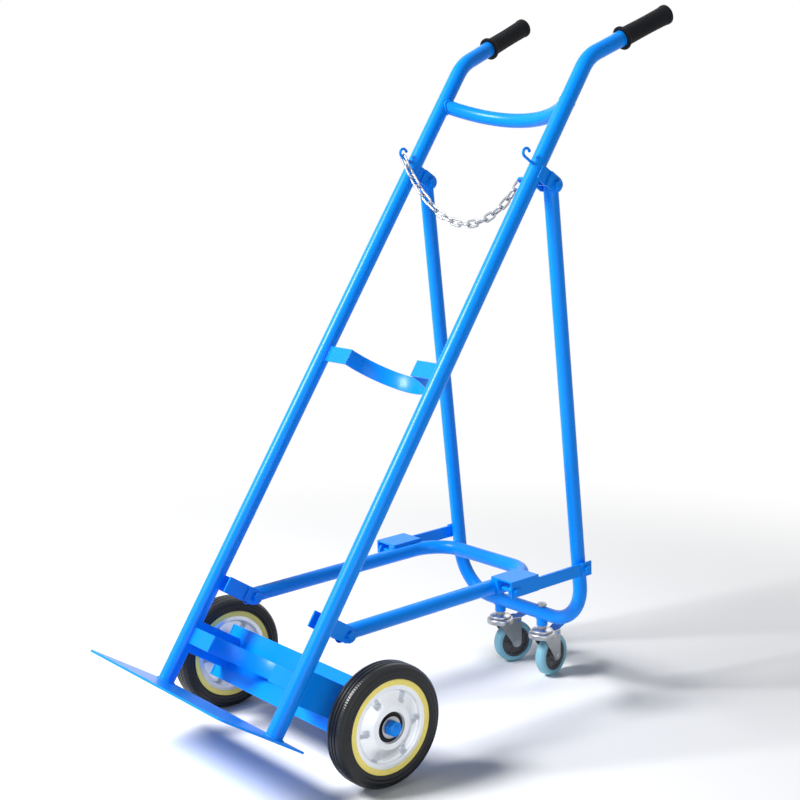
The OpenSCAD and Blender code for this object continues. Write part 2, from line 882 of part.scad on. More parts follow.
module caster_fork(side) {
    skirt = 12;
    shoulder = 5;
    toe_r = 12;
    pin_edge = 8;
    front = -20;
    color(zinc) on_caster(side) difference() {
        union() {
            translate([0, 0, fork_top_z - skirt]) rotate_extrude() difference() {
                rounded_disc(cup_d / 2, skirt, shoulder);
                rounded_disc(cup_d / 2 - fork_t, skirt - fork_t, shoulder - fork_t);
            }
            for (cheek = [-1, 1])
                translate([cheek * (fork_in + fork_t / 2), 0, 0]) cross_plate(fork_t) {
                    polygon([
                        [front, fork_top_z - fork_t], [caster_trail - toe_r, caster_axle_z],
                        [caster_trail + toe_r, caster_axle_z],
                        [pedal_pin[1] + pin_edge, pedal_pin[2] - pin_edge],
                        [pedal_pin[1] + pin_edge, fork_top_z - fork_t]
                    ]);
                    translate([caster_trail, caster_axle_z]) circle(r = toe_r);
                }
        }
        translate([0, caster_trail, caster_axle_z]) cross_rod(caster_axle_d + 2 * weld, 3 * caster_w);
        translate(pedal_pin) cross_rod(pedal_pin_d + 2 * run_gap, 3 * caster_w);
        translate([0, 0, fork_top_z - 2 * skirt]) cylinder(d = stem_d + 2 * run_gap, h = 4 * skirt);
    }
}

module left_caster_fork() {
    caster_fork(-1);
}

module right_caster_fork() {
    caster_fork(1);
}

module caster_axle(side) {
    color(zinc) on_caster(side) translate([0, caster_trail, caster_axle_z])
        cross_bolt(caster_axle_d, 2 * (fork_in + fork_t));
}

module left_caster_axle() {
    caster_axle(-1);
}

module right_caster_axle() {
    caster_axle(1);
}

module caster_wheel(side) {
    boss_d = 26;
    dish = 6;
    color(black) on_caster(side) translate([0, caster_trail, caster_axle_z]) rotate([0, 90, 0]) difference() {
        union() {
            cylinder(d = core_d, h = caster_w - dish, center = true);
            cylinder(d = boss_d, h = caster_w + 4, center = true);
        }
        for (face = [-1, 1])
            translate([0, 0, face * caster_w / 2]) difference() {
                cylinder(d = core_d - 2 * dish, h = 2 * dish, center = true);
                cylinder(d = boss_d + 2, h = 3 * dish, center = true);
            }
        cylinder(d = caster_axle_d + 2 * run_gap, h = 2 * caster_w, center = true);
    }
}

module left_caster_wheel() {
    caster_wheel(-1);
}

module right_caster_wheel() {
    caster_wheel(1);
}

module caster_tread(side) {
    edge = 4;
    color(tread_grey) on_caster(side) translate([0, caster_trail, caster_axle_z]) rotate([0, 90, 0])
        rotate_extrude() polygon([
            [core_d / 2 + weld, -caster_w / 2], [caster_d / 2 - edge, -caster_w / 2],
            [caster_d / 2, edge - caster_w / 2], [caster_d / 2, caster_w / 2 - edge],
            [caster_d / 2 - edge, caster_w / 2], [core_d / 2 + weld, caster_w / 2]
        ]);
}

module left_caster_tread() {
    caster_tread(-1);
}

module right_caster_tread() {
    caster_tread(1);
}

// A lever between the fork cheeks, on a cross pin, that stands out behind the wheel.
module brake_pedal(side) {
    t = 3;
    tilt = 18;
    tip_tilt = 24;
    len = 46;
    tip = 14;
    color(blue) on_caster(side) translate(pedal_pin) {
        cross_rod(pedal_pin_d, 2 * (fork_in + fork_t));
        translate([-pedal_w / 2, 0, pedal_pin_d / 2 - 1]) rotate([tilt, 0, 0]) {
            translate([0, -5, 0]) cube([pedal_w, len, t]);
            translate([0, len - 6, 0]) rotate([tip_tilt, 0, 0]) cube([pedal_w, tip, t]);
        }
    }
}

module left_brake_pedal() {
    brake_pedal(-1);
}

module right_brake_pedal() {
    brake_pedal(1);
}

// Chain

module chain_link() {
    half = chain_pitch / 2;
    bend_r = (chain_inner_w + chain_wire) / 2;
    for (end = [-1, 1]) {
        translate([end * (half + chain_wire / 2 - bend_r), 0, 0]) rotate([0, 0, end > 0 ? -90 : 90])
            rotate_extrude(angle = 180) translate([bend_r, 0]) circle(d = chain_wire, $fn = 24);
        translate([-(half + chain_wire / 2 - bend_r), end * bend_r, 0]) rotate([0, 90, 0])
            cylinder(d = chain_wire, h = 2 * (half + chain_wire / 2 - bend_r), $fn = 24);
    }
}

module chain() {
    color(zinc) translate(chain_a) rotate([0, 0, chain_heading])
        for (k = [0:chain_links - 1]) {
            s = chain_s0 + chain_first + k * chain_step;
            translate([chain_x(s), 0, chain_z(s)]) rotate([0, -chain_slope(s), 0])
                rotate([k % 2 == 0 ? 90 : 0, 0, 0]) chain_link();
        }
}

left_rail();
right_rail();
top_cross_bar();
upper_saddle();
lower_saddle();
toe_plate();
axle_plate();
left_axle_bracket();
right_axle_bracket();
axle();
axle_spacers();
axle_washers();
axle_nuts();
left_grip();
right_grip();
left_hook();
right_hook();
chain_eye();
left_leg_clevis();
right_leg_clevis();
left_brace_clevis();
right_brace_clevis();
leg_pivot_bolts();
brace_pivot_bolts();
left_hub();
right_hub();
left_band();
right_band();
left_tyre();
right_tyre();
left_bearings();
right_bearings();
leg_frame();
left_caster_socket();
right_caster_socket();
brace_bow();
left_knee_bracket();
right_knee_bracket();
knee_bolts();
left_link();
right_link();
link_rivets();
left_caster_stem();
right_caster_stem();
left_caster_fork();
right_caster_fork();
left_caster_axle();
right_caster_axle();
left_caster_wheel();
right_caster_wheel();
left_caster_tread();
right_caster_tread();
left_brake_pedal();
right_brake_pedal();
chain();
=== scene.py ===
import json
import random
from math import asin, copysign, cos, exp, hypot, pi, radians, sin, sqrt, tan

import bmesh
import bpy
import numpy as np
from mathutils import Matrix, Vector


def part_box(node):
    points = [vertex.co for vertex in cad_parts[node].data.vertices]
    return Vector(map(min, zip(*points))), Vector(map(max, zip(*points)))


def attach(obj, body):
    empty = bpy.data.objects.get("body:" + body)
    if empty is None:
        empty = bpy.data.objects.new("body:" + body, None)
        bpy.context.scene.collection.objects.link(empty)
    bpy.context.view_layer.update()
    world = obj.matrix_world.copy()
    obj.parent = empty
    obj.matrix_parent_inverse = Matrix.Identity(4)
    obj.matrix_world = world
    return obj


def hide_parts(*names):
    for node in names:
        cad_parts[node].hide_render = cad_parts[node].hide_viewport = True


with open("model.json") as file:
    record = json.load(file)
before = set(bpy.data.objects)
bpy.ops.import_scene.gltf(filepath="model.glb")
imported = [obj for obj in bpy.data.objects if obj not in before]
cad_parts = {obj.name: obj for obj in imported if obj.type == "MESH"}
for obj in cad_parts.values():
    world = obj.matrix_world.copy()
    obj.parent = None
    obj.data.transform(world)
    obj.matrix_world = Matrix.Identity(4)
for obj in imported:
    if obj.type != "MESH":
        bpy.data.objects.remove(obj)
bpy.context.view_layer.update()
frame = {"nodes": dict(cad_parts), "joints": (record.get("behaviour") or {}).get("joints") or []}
scene = bpy.context.scene
nodes = frame["nodes"]
jointAt = {joint["name"]: Vector(joint["pos_m"]) for joint in frame["joints"]}
jointAxis = {joint["name"]: Vector(joint["axis"]) for joint in frame["joints"]}
mm = 0.001
dice = random.Random(7)
sides = {"left": -1, "right": 1}
print("frame loaded:", len(nodes), "nodes")


# mesh tools: hair is the radius of a closed tip, fitGap keeps seated shapes apart

hair = 0.02 * mm
fitGap = 0.03 * mm
mergeGap = 0.002 * mm
xAxis, zAxis = Vector((1, 0, 0)), Vector((0, 0, 1))


def inMm(**lengths):
    return {label: length * mm for label, length in lengths.items()}


def addObject(name, data):
    thing = bpy.data.objects.new(name, data)
    scene.collection.objects.link(thing)
    return thing


def newPiece(name, bm, slotName, body, stands=(), extra=(), sharp=38):
    # extra slots come after the piece's own in its list of materials
    bmesh.ops.remove_doubles(bm, verts=bm.verts, dist=mergeGap)
    bmesh.ops.recalc_face_normals(bm, faces=bm.faces)
    mesh = bpy.data.meshes.new(name)
    bm.to_mesh(mesh)
    bm.free()
    for used in (slotName, *extra):
        mesh.materials.append(finish[used])
    mesh.polygons.foreach_set("use_smooth", [True] * len(mesh.polygons))
    mesh.set_sharp_from_angle(angle=radians(sharp))
    piece = addObject(name, mesh)
    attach(piece, body)
    if stands:
        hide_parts(*stands)


def limited(value):
    return max(0.0, min(1.0, value))


def evenSteps(low, high, count):
    return [low + (high - low) * k / count for k in range(count + 1)]


def turnAngles(steps):
    return [2 * pi * i / steps for i in range(steps)]


def polar(r, a, h):
    return Vector((r * cos(a), r * sin(a), h))


def along(start, stop):
    # places local Z on the line from start to stop
    turn = (stop - start).to_track_quat("Z", "Y")
    return Matrix.Translation(start) @ turn.to_matrix().to_4x4()


def pointing(start, way):
    return along(start, start + way)


def raisedBy(height):
    return Matrix.Translation((0, 0, height))


def turnedX(angle):
    return Matrix.Rotation(angle, 4, "X")


def addRings(bm, rings, closed=False, finishAt=None):
    # skins a list of point rings; closed joins the last ring to the first
    made = [[bm.verts.new(point) for point in ring] for ring in rings]
    count = len(made[0])
    pairs = list(zip(made, made[1:])) + ([(made[-1], made[0])] if closed else [])
    for k, (low, high) in enumerate(pairs):
        for i in range(count):
            j = (i + 1) % count
            face = bm.faces.new((low[i], low[j], high[j], high[i]))
            if finishAt:
                face.material_index = finishAt(k)
    return made


def roundedOutline(corners, segments=4, closed=True):
    # corners are (radius, height, rounding); each rounding becomes an arc
    mostOfEdge = 0.48
    outline = []
    for k, (r, h, rounding) in enumerate(corners):
        here = Vector((r, h))
        if rounding <= 0 or (not closed and k in (0, len(corners) - 1)):
            outline.append(here)
            continue
        before = Vector(corners[k - 1][:2]) - here
        after = Vector(corners[(k + 1) % len(corners)][:2]) - here
        wanted = rounding / tan(before.angle(after) / 2)
        reach = min(wanted, mostOfEdge * before.length, mostOfEdge * after.length)
        start, stop = here + before.normalized() * reach, here + after.normalized() * reach
        for s in range(segments + 1):
            t = s / segments
            outline.append(start * (1 - t) ** 2 + here * 2 * t * (1 - t) + stop * t ** 2)
    return outline


def mirrored(corners):
    # the same corners at the opposite heights, in reverse
    return [(r, -h, rounding) for r, h, rounding in reversed(corners)]


def flatPoints(*pairs):
    return [Vector(pair) for pair in pairs]


def addTurned(bm, outline, place, steps=96, closed=True, radiusAt=None, finishAt=None):
    # turns an outline of (radius, height) points around the local Z axis
    rings = []
    for r, h in outline:
        ring = []
        for i, a in enumerate(turnAngles(steps)):
            ring.append(place @ polar(radiusAt(r, h, a, i) if radiusAt else r, a, h))
        rings.append(ring)
    addRings(bm, rings, closed=closed, finishAt=finishAt)


def addDisc(bm, radii, heightAt, place, steps):
    # a disc whose two faces have the same relief
    rings = []
    for face, order in ((1, radii), (-1, radii[::-1])):
        for r in order:
            rings.append([place @ polar(r, a, face * heightAt(r, a)) for a in turnAngles(steps)])
    addRings(bm, rings, closed=True)


hexagon = {"cut": 0.22, "levels": (0, 0.35, 0.7, 1), "endShare": 0.95, "slope": 1.2, "steps": 72}


def addHexagon(bm, place, across, height, bore=0.0, chamferLow=True):
    # a hexagon whose corners are cut by cones at its ends; bore 0 leaves it solid
    flat, angles = across / 2, turnAngles(hexagon["steps"])
    cut, end, slope = hexagon["cut"] * flat, hexagon["endShare"] * flat, hexagon["slope"]
    levels = [t * cut for t in hexagon["levels"]]
    levels += [height - z for z in reversed(levels)]
    rings = []
    for z in levels:
        ring = []
        for a in angles:
            corner = flat / cos((a + pi / 6) % (pi / 3) - pi / 6)
            low = end + z * slope if chamferLow else corner
            ring.append(place @ polar(min(corner, low, end + (height - z) * slope), a, z))
        rings.append(ring)
    rings += [[place @ polar(max(bore, hair), a, z) for a in angles] for z in (height, 0)]
    addRings(bm, rings, closed=True)


def addSwept(bm, path, radiusAt, ringSides, closed=False):
    # a round section carried along a path without twisting
    count = len(path)
    tangents = []
    for k in range(count):
        before = path[k - 1] if closed or k > 0 else path[k]
        after = path[(k + 1) % count] if closed or k < count - 1 else path[k]
        tangents.append((after - before).normalized())
    side = tangents[0].orthogonal().normalized()
    rings = []
    for k, tangent in enumerate(tangents):
        side = (side - tangent * side.dot(tangent)).normalized()
        other = tangent.cross(side)
        r = radiusAt(k)
        rings.append([path[k] + (side * cos(a) + other * sin(a)) * r for a in turnAngles(ringSides)])
    made = addRings(bm, rings, closed=closed)
    if not closed:
        bm.faces.new(made[0])
        bm.faces.new(made[-1])


def looseParts(node):
    # the separate solids of a CAD node, as arrays of points
    bm = bmesh.new()
    bm.from_mesh(nodes[node].data)
    bmesh.ops.remove_doubles(bm, verts=bm.verts, dist=mergeGap / 2)
    seen, parts = set(), []
    for first in bm.verts:
        if first in seen:
            continue
        seen.add(first)
        reach, part = [first], []
        while reach:
            vert = reach.pop()
            part.append(vert.co.copy())
            for edge in vert.link_edges:
                other = edge.other_vert(vert)
                if other not in seen:
                    seen.add(other)
                    reach.append(other)
        parts.append(np.array(part))
    bm.free()
    return parts


def boxOf(points):
    low, high = points.min(0), points.max(0)
    return low, high, Vector((low + high) / 2)


def mainAxes(points):
    # centre of the box along the main axes, those axes from longest to shortest, and the sizes along them
    spread = np.linalg.svd(points - points.mean(0), full_matrices=False)[2]
    low, high = (points @ spread.T).min(0), (points @ spread.T).max(0)
    order = np.argsort(low - high)
    axes = spread[order]
    size = (high - low)[order]
    centre = ((low + high) / 2)[order] @ axes
    return Vector(centre), [Vector(axis) for axis in axes], size


def outwardFrom(point):
    return Vector((copysign(1, point.x), 0, 0))


# shared effects, as node groups

def addSocket(group, label, way):
    kind = "NodeSocketColor" if label == "Color" else "NodeSocketFloat"
    return group.interface.new_socket(label, in_out=way, socket_type=kind)


def newGroup(name, **inputs):
    group = bpy.data.node_groups.new(name, "ShaderNodeTree")
    for label, value in inputs.items():
        addSocket(group, label, "INPUT").default_value = value
    return group, group.nodes.new("NodeGroupInput").outputs


def closeGroup(group, **outputs):
    for label in outputs:
        addSocket(group, label, "OUTPUT")
    feed(group, group.nodes.new("NodeGroupOutput").inputs, outputs)
    return group


def feed(tree, inputs, values):
    # sets plain values, and links the outputs of other nodes
    for label, value in values.items():
        if isinstance(value, (int, float, tuple)):
            inputs[label].default_value = value
        else:
            tree.links.new(value, inputs[label])


def addNode(tree, kind, values=None, **settings):
    node = tree.nodes.new("ShaderNode" + kind)
    for label, value in settings.items():
        setattr(node, label, value)
    feed(tree, node.inputs, values or {})
    return node.outputs


def objectCoords(tree):
    return addNode(tree, "TexCoord")["Object"]


def noiseAt(tree, coords, scale, detail, roughness=0.55):
    values = {"Vector": coords, "Scale": scale, "Detail": detail, "Roughness": roughness}
    return addNode(tree, "TexNoise", values)["Fac"]


def mathNode(tree, operation, first, second, clamp=False):
    return addNode(tree, "Math", {0: first, 1: second}, operation=operation, use_clamp=clamp)[0]


def rangeNode(tree, value, low, high, newLow=0.0):
    values = {"Value": value, "From Min": low, "From Max": high, "To Min": newLow, "To Max": 1.0}
    return addNode(tree, "MapRange", values, interpolation_type="SMOOTHSTEP")["Result"]


def mixColours(tree, mask, first, second):
    return addNode(tree, "Mix", {0: mask, 6: first, 7: second}, data_type="RGBA")[2]


def centred(tree, value, amount, gain):
    # a value from 0 to 1, shifted to lie about zero and scaled
    shift = mathNode(tree, "MULTIPLY", mathNode(tree, "SUBTRACT", value, 0.5), amount)
    return mathNode(tree, "MULTIPLY", shift, gain)


def toned(tree, color, shift):
    # lightens and darkens a colour about its own tone
    value = mathNode(tree, "ADD", shift, 1.0)
    return addNode(tree, "HueSaturation", {"Value": value, "Color": color})["Color"]


def makeTonePatches(fineScale=9.0, broadShare=0.65, fineShare=0.35, gain=2.0):
    group, source = newGroup("tonePatches", Color=(0.5, 0.5, 0.5, 1), Amount=0.1, Scale=8.0)
    coords = objectCoords(group)
    broad = noiseAt(group, coords, source["Scale"], detail=3)
    fine = noiseAt(group, coords, mathNode(group, "MULTIPLY", source["Scale"], fineScale), detail=5)
    both = mathNode(group, "ADD", mathNode(group, "MULTIPLY", broad, broadShare),
                    mathNode(group, "MULTIPLY", fine, fineShare))
    shift = centred(group, both, source["Amount"], gain)
    return closeGroup(group, Color=toned(group, source["Color"], shift))


def makeSurfaceGrain(rubbedScale=22.0, gain=2.0):
    group, source = newGroup("surfaceGrain", Scale=400.0, Roughness=0.4, Spread=0.1)
    coords = objectCoords(group)
    grain = noiseAt(group, coords, source["Scale"], detail=4, roughness=0.6)
    rubbed = noiseAt(group, coords, rubbedScale, detail=5, roughness=0.65)
    shift = centred(group, rubbed, source["Spread"], gain)
    rough = mathNode(group, "ADD", source["Roughness"], shift, clamp=True)
    return closeGroup(group, Roughness=rough, Height=grain)


# lighter edges: partly real wear, partly a painted highlight where edges would catch the light
def makeEdgeWearAndHighlight(samples=6, flat=0.88, edge=0.55, brokenScale=90.0, brokenFrom=0.42, brokenTo=0.62):
    group, source = newGroup("edgeWearAndHighlight", Width=0.0015, Amount=0.5)
    softened = addNode(group, "Bevel", {"Radius": source["Width"]}, samples=samples)["Normal"]
    normal = addNode(group, "NewGeometry")["Normal"]
    turn = addNode(group, "VectorMath", {0: softened, 1: normal}, operation="DOT_PRODUCT")["Value"]
    noise = noiseAt(group, objectCoords(group), brokenScale, detail=6, roughness=0.7)
    wornAndHighlit = mathNode(group, "MULTIPLY", rangeNode(group, turn, flat, edge),
                    rangeNode(group, noise, brokenFrom, brokenTo))
    return closeGroup(group, Mask=mathNode(group, "MULTIPLY", wornAndHighlit, source["Amount"], clamp=True))


def makeSettledDust(slopeFrom=0.1, slopeTo=0.95, steep=0.25, speckFrom=0.45, speckTo=0.75):
    group, source = newGroup("settledDust", Amount=0.2, Scale=60.0)
    normal = addNode(group, "NewGeometry")["Normal"]
    rise = addNode(group, "SeparateXYZ", {0: normal})["Z"]
    noise = noiseAt(group, objectCoords(group), source["Scale"], detail=8, roughness=0.7)
    dust = mathNode(group, "MULTIPLY", rangeNode(group, rise, slopeFrom, slopeTo, steep),
                    rangeNode(group, noise, speckFrom, speckTo))
    return closeGroup(group, Mask=mathNode(group, "MULTIPLY", dust, source["Amount"], clamp=True))


def makeCrystals(gain=1.0):
    # the faint crystal pattern of plated or cast metal
    group, source = newGroup("metalCrystals", Color=(0.7, 0.7, 0.7, 1), Scale=300.0, Amount=0.15)
    cells = addNode(group, "TexVoronoi", {"Vector": objectCoords(group), "Scale": source["Scale"]})
    level = addNode(group, "SeparateColor", {0: cells["Color"]})[0]
    shift = centred(group, level, source["Amount"], gain)
    return closeGroup(group, Color=toned(group, source["Color"], shift), Height=cells["Distance"])


effects = {"tone": makeTonePatches(), "grain": makeSurfaceGrain(), "edgeWearHighlight": makeEdgeWearAndHighlight(),
           "dust": makeSettledDust(), "crystals": makeCrystals()}
print("shared effects:", len(effects))


# finishes, one for each slot of the record

# each finish's lighter edge colour stands for wear and partly for a painted highlight on the edges
finishLooks = {
    "blue_paint": dict(
        name="bluePaint", color=(0.0, 0.255, 0.92), tone=0.08, toneScale=7.0, roughness=0.30, spread=0.08,
        grainScale=520.0, bump=0.03, specular=0.16, coat=0.04, edgeWearHighlightColor=(0.02, 0.34, 0.95),
        edgeWearHighlightWidth=0.0016, dustColor=(0.03, 0.20, 0.62), dust=0.10),
    "zinc": dict(
        name="brightZinc", color=(0.43, 0.44, 0.46), tone=0.14, toneScale=16.0, roughness=0.34, spread=0.12,
        grainScale=900.0, bump=0.05, metallic=1.0, crystals=420.0, crystalTone=0.08,
        edgeWearHighlightColor=(0.80, 0.80, 0.82), edgeWearHighlight=0.6, dustColor=(0.26, 0.26, 0.26), dust=0.18),
    "cast_hub": dict(
        name="castAlloy", color=(0.84, 0.86, 0.89), tone=0.09, toneScale=26.0, roughness=0.36,
        grainScale=1300.0, bump=0.14, metallic=0.6, crystals=700.0, crystalTone=0.05,
        edgeWearHighlightColor=(0.92, 0.92, 0.93), edgeWearHighlightWidth=0.0015, edgeWearHighlight=0.6, dustColor=(0.40, 0.39, 0.38), dust=0.10),
    "yellow_band": dict(
        name="yellowBand", color=(0.95, 0.79, 0.19), tone=0.10, toneScale=20.0, roughness=0.45,
        grainScale=800.0, bump=0.06, edgeWearHighlightColor=(0.90, 0.78, 0.30), edgeWearHighlightWidth=0.0015, edgeWearHighlight=0.4,
        dustColor=(0.40, 0.32, 0.13), dust=0.12),
    "tyre": dict(
        name="tyreRubber", color=(0.008, 0.009, 0.011), tone=0.25, toneScale=18.0, roughness=0.30,
        grainScale=1500.0, bump=0.12, specular=0.32, edgeWearHighlightColor=(0.035, 0.035, 0.037), edgeWearHighlightWidth=0.0012,
        edgeWearHighlight=0.6, dustColor=(0.05, 0.048, 0.045), dust=0.16),
    "bearing": dict(
        name="sealRubber", color=(0.008, 0.008, 0.009), tone=0.2, toneScale=60.0, roughness=0.5,
        grainScale=1500.0, bump=0.08, specular=0.2, edgeWearHighlightColor=(0.05, 0.05, 0.05), edgeWearHighlightWidth=0.0008, edgeWearHighlight=0.4,
        dustColor=(0.10, 0.09, 0.08), dust=0.2),
    "grip": dict(
        name="gripRubber", color=(0.004, 0.0045, 0.007), tone=0.2, toneScale=30.0, roughness=0.5,
        spread=0.12, grainScale=1700.0, bump=0.24, specular=0.12, edgeWearHighlightColor=(0.03, 0.03, 0.03),
        dustColor=(0.04, 0.04, 0.045), dust=0.08),
    "caster_core": dict(
        name="casterCore", color=(0.085, 0.085, 0.092), tone=0.15, toneScale=40.0, roughness=0.45,
        grainScale=1200.0, bump=0.12, specular=0.3, edgeWearHighlightColor=(0.10, 0.11, 0.12),
        dustColor=(0.12, 0.11, 0.10), dust=0.2),
    "caster_tread": dict(
        name="casterTread", color=(0.21, 0.47, 0.58), tone=0.10, toneScale=30.0, roughness=0.48,
        grainScale=1200.0, bump=0.10, edgeWearHighlightColor=(0.40, 0.58, 0.63), edgeWearHighlightWidth=0.0012,
        dustColor=(0.16, 0.19, 0.20), dust=0.30),
}
# what a finish has unless its own entry says otherwise
sharedLook = {"metallic": 0.0, "specular": 0.5, "coat": 0.0, "coatRoughness": 0.12, "spread": 0.1,
              "edgeWearHighlight": 0.5, "edgeWearHighlightWidth": 0.001, "crystalHeight": 0.15, "dustRoughness": 0.5,
              "bumpDepth": 0.35 * mm}


def placeGroup(tree, effect, **values):
    return addNode(tree, "Group", values, node_tree=effects[effect])


def makeFinish(ownLook):
    look = {**sharedLook, **ownLook}
    material = bpy.data.materials.new(look["name"])
    material.use_nodes = True
    tree = material.node_tree
    tone = placeGroup(tree, "tone", Color=look["color"] + (1,), Amount=look["tone"],
                      Scale=look["toneScale"])
    grain = placeGroup(tree, "grain", Scale=look["grainScale"], Roughness=look["roughness"],
                       Spread=look["spread"])
    color, height = tone["Color"], grain["Height"]
    if "crystals" in look:
        cells = placeGroup(tree, "crystals", Color=color, Scale=look["crystals"],
                           Amount=look["crystalTone"])
        raised = mathNode(tree, "MULTIPLY", cells["Height"], look["crystalHeight"])
        color, height = cells["Color"], mathNode(tree, "ADD", height, raised)
    # edges take a lighter colour, for wear and partly as a painted highlight
    edgeWearHighlight = placeGroup(tree, "edgeWearHighlight", Width=look["edgeWearHighlightWidth"], Amount=look["edgeWearHighlight"])
    color = mixColours(tree, edgeWearHighlight["Mask"], color, look["edgeWearHighlightColor"] + (1,))
    dust = placeGroup(tree, "dust", Amount=look["dust"])
    color = mixColours(tree, dust["Mask"], color, look["dustColor"] + (1,))
    dulled = mathNode(tree, "MULTIPLY", dust["Mask"], look["dustRoughness"])
    relief = {"Strength": look["bump"], "Distance": look["bumpDepth"], "Height": height}
    feed(tree, tree.nodes["Principled BSDF"].inputs, {
        "Base Color": color, "Roughness": mathNode(tree, "ADD", grain["Roughness"], dulled, clamp=True),
        "Metallic": look["metallic"], "Specular IOR Level": look["specular"], "Coat Weight": look["coat"],
        "Coat Roughness": look["coatRoughness"], "Normal": addNode(tree, "Bump", relief)["Normal"]})
    return material


finish = {slotName: makeFinish(look) for slotName, look in finishLooks.items()}
for node in nodes.values():
    for holder in node.material_slots:
        holder.material = finish[holder.material.name.split(".")[0]]
print("finishes:", len(finish))


# softened edges on the folded and cut plates

plateEdges = {
    "width": 0.9 * mm, "segments": 3, "angle": 40,
    "nodes": ["toe_plate", "axle_plate", "upper_saddle", "lower_saddle"]
             + [side + part for side in ("left_", "right_") for part in (
                 "axle_bracket", "leg_clevis", "brace_clevis", "knee_bracket", "link",
                 "caster_fork", "brake_pedal", "caster_socket")],
}
for nodeName in plateEdges["nodes"]:
    weldEdges = nodes[nodeName].modifiers.new("weldEdges", "WELD")
    weldEdges.merge_threshold = mergeGap
    softEdge = nodes[nodeName].modifiers.new("softEdge", "BEVEL")
    softEdge.width = plateEdges["width"]
    softEdge.segments = plateEdges["segments"]
    softEdge.limit_method = "ANGLE"
    softEdge.angle_limit = radians(plateEdges["angle"])
    softEdge.harden_normals = True
print("plate edges softened:", len(plateEdges["nodes"]))


# wheels; the tooth values are multiples of the shoulder, along the radius and the width

wheel = {
    **inMm(radius=125, width=50, tyreHeight=29.5, bandHeight=12, middle=284, shoulder=7, shoulderRound=3,
           shoulderDrop=1.5, beadRound=1.5, toothDepth=0.7, grooveDepth=3, grooveWidth=2.4, grooveLip=0.6,
           grooveSlope=0.3, grooveRound=0.5, ringHeight=0.5, ringFoot=1, ringTop=0.5),
    "teeth": 150, "toothStart": (1.7, 1.9), "toothFade": (0.9, 1.1),
    "grooves": (-9 * mm, 0.0, 9 * mm), "rings": (0.32, 0.62),
}
band = inMm(inset=2, innerRound=0.8, outerRound=1.6)
hub = {
    **inMm(bossRadius=44, boreRadius=32, rimWidth=9, rimHeight=22, webHeight=13, bossRound=3, webRound=4,
           rimRound=2, rimSlope=3, pocketLength=20, pocketWidth=13, pocketBottom=2.5, pocketCorner=4,
           draft=1.8),
    "pockets": 6, "radialSteps": 52, "turnSteps": 264,
}
bearing = inMm(width=12, recess=5, outerRace=1.6, innerRace=5, sealDip=0.9, play=0.05)
axleRadius = 10 * mm
wheelHalf = wheel["width"] / 2
bandRadius = wheel["radius"] - wheel["tyreHeight"]
hubRadius = bandRadius - wheel["bandHeight"]


def wheelPlace(side):
    centre = jointAt[side + "_wheel_spin"] + Vector((sides[side] * wheel["middle"], 0, 0))
    return pointing(centre, xAxis * sides[side])


def tyreOutline():
    outer, half = wheel["radius"], wheelHalf
    inner, shoulder, soft = bandRadius + fitGap, wheel["shoulder"], wheel["shoulderRound"]
    foot, top, proud = wheel["ringFoot"], wheel["ringTop"], -half - wheel["ringHeight"]
    wall = [(inner, -half, wheel["beadRound"])]
    for share in wheel["rings"]:
        r = inner + share * (outer - shoulder - inner)
        wall += [(r - foot, -half, 0), (r - top, proud, 0), (r + top, proud, 0), (r + foot, -half, 0)]
    wall += [(outer - shoulder, -half, soft), (outer - wheel["shoulderDrop"], -half + shoulder, soft)]
    w, floor = wheel["grooveWidth"] / 2, outer - wheel["grooveDepth"]
    lip, slope, soft = wheel["grooveLip"], wheel["grooveSlope"], wheel["grooveRound"]
    crown = []
    for middle in wheel["grooves"]:
        crown += [(outer, middle - w - lip, lip), (floor, middle - w + slope, soft),
                  (floor, middle + w - slope, soft), (outer, middle + w + lip, lip)]
    return roundedOutline(wall + crown + mirrored(wall), segments=3)


def toothedRadius(r, h, a, i):
    # notches across both shoulders, four steps to a tooth
    shoulder, start, fade = wheel["shoulder"], wheel["toothStart"], wheel["toothFade"]
    depth = (0.0, 1.0, 1.0, 0.0)[i % 4] * wheel["toothDepth"]
    zone = (abs(h) - (wheelHalf - start[1] * shoulder)) / (fade[1] * shoulder)
    rise = (r - (wheel["radius"] - start[0] * shoulder)) / (fade[0] * shoulder)
    return r - depth * (limited(zone) * limited(rise))


def hubOutline():
    # radii and heights of a hub face without its pockets
    rim = hubRadius - hub["rimWidth"]
    corners = [(hub["boreRadius"], wheelHalf, 0), (hub["bossRadius"], wheelHalf, hub["bossRound"]),
               (rim - hub["rimSlope"], hub["webHeight"], hub["webRound"]),
               (rim, hub["rimHeight"], hub["rimRound"]), (hubRadius, hub["rimHeight"], 0)]
    outline = roundedOutline(corners, segments=6, closed=False)
    return [p[0] for p in outline], [p[1] for p in outline]


def pocketShare(r, a):
    # 1 inside a rounded pocket, 0 outside, with sloping walls between
    step, corner = 2 * pi / hub["pockets"], hub["pocketCorner"]
    off = (a + step / 2) % step - step / 2
    middle = hubRadius - hub["rimWidth"] - hub["rimSlope"] - hub["pocketLength"] / 2
    dx = abs(r * cos(off) - middle) - hub["pocketLength"] / 2 + corner
    dy = abs(r * sin(off)) - hub["pocketWidth"] / 2 + corner
    gap = hypot(max(dx, 0), max(dy, 0)) + min(max(dx, dy), 0) - corner
    t = limited(0.5 - gap / hub["draft"])
    return t * t * (3 - 2 * t)


def buildTyre(side):
    bm = bmesh.new()
    addTurned(bm, tyreOutline(), wheelPlace(side), steps=4 * wheel["teeth"], radiusAt=toothedRadius)
    newPiece(side + "ToothedTyre", bm, "tyre", side + "_wheel", [side + "_tyre"], sharp=50)


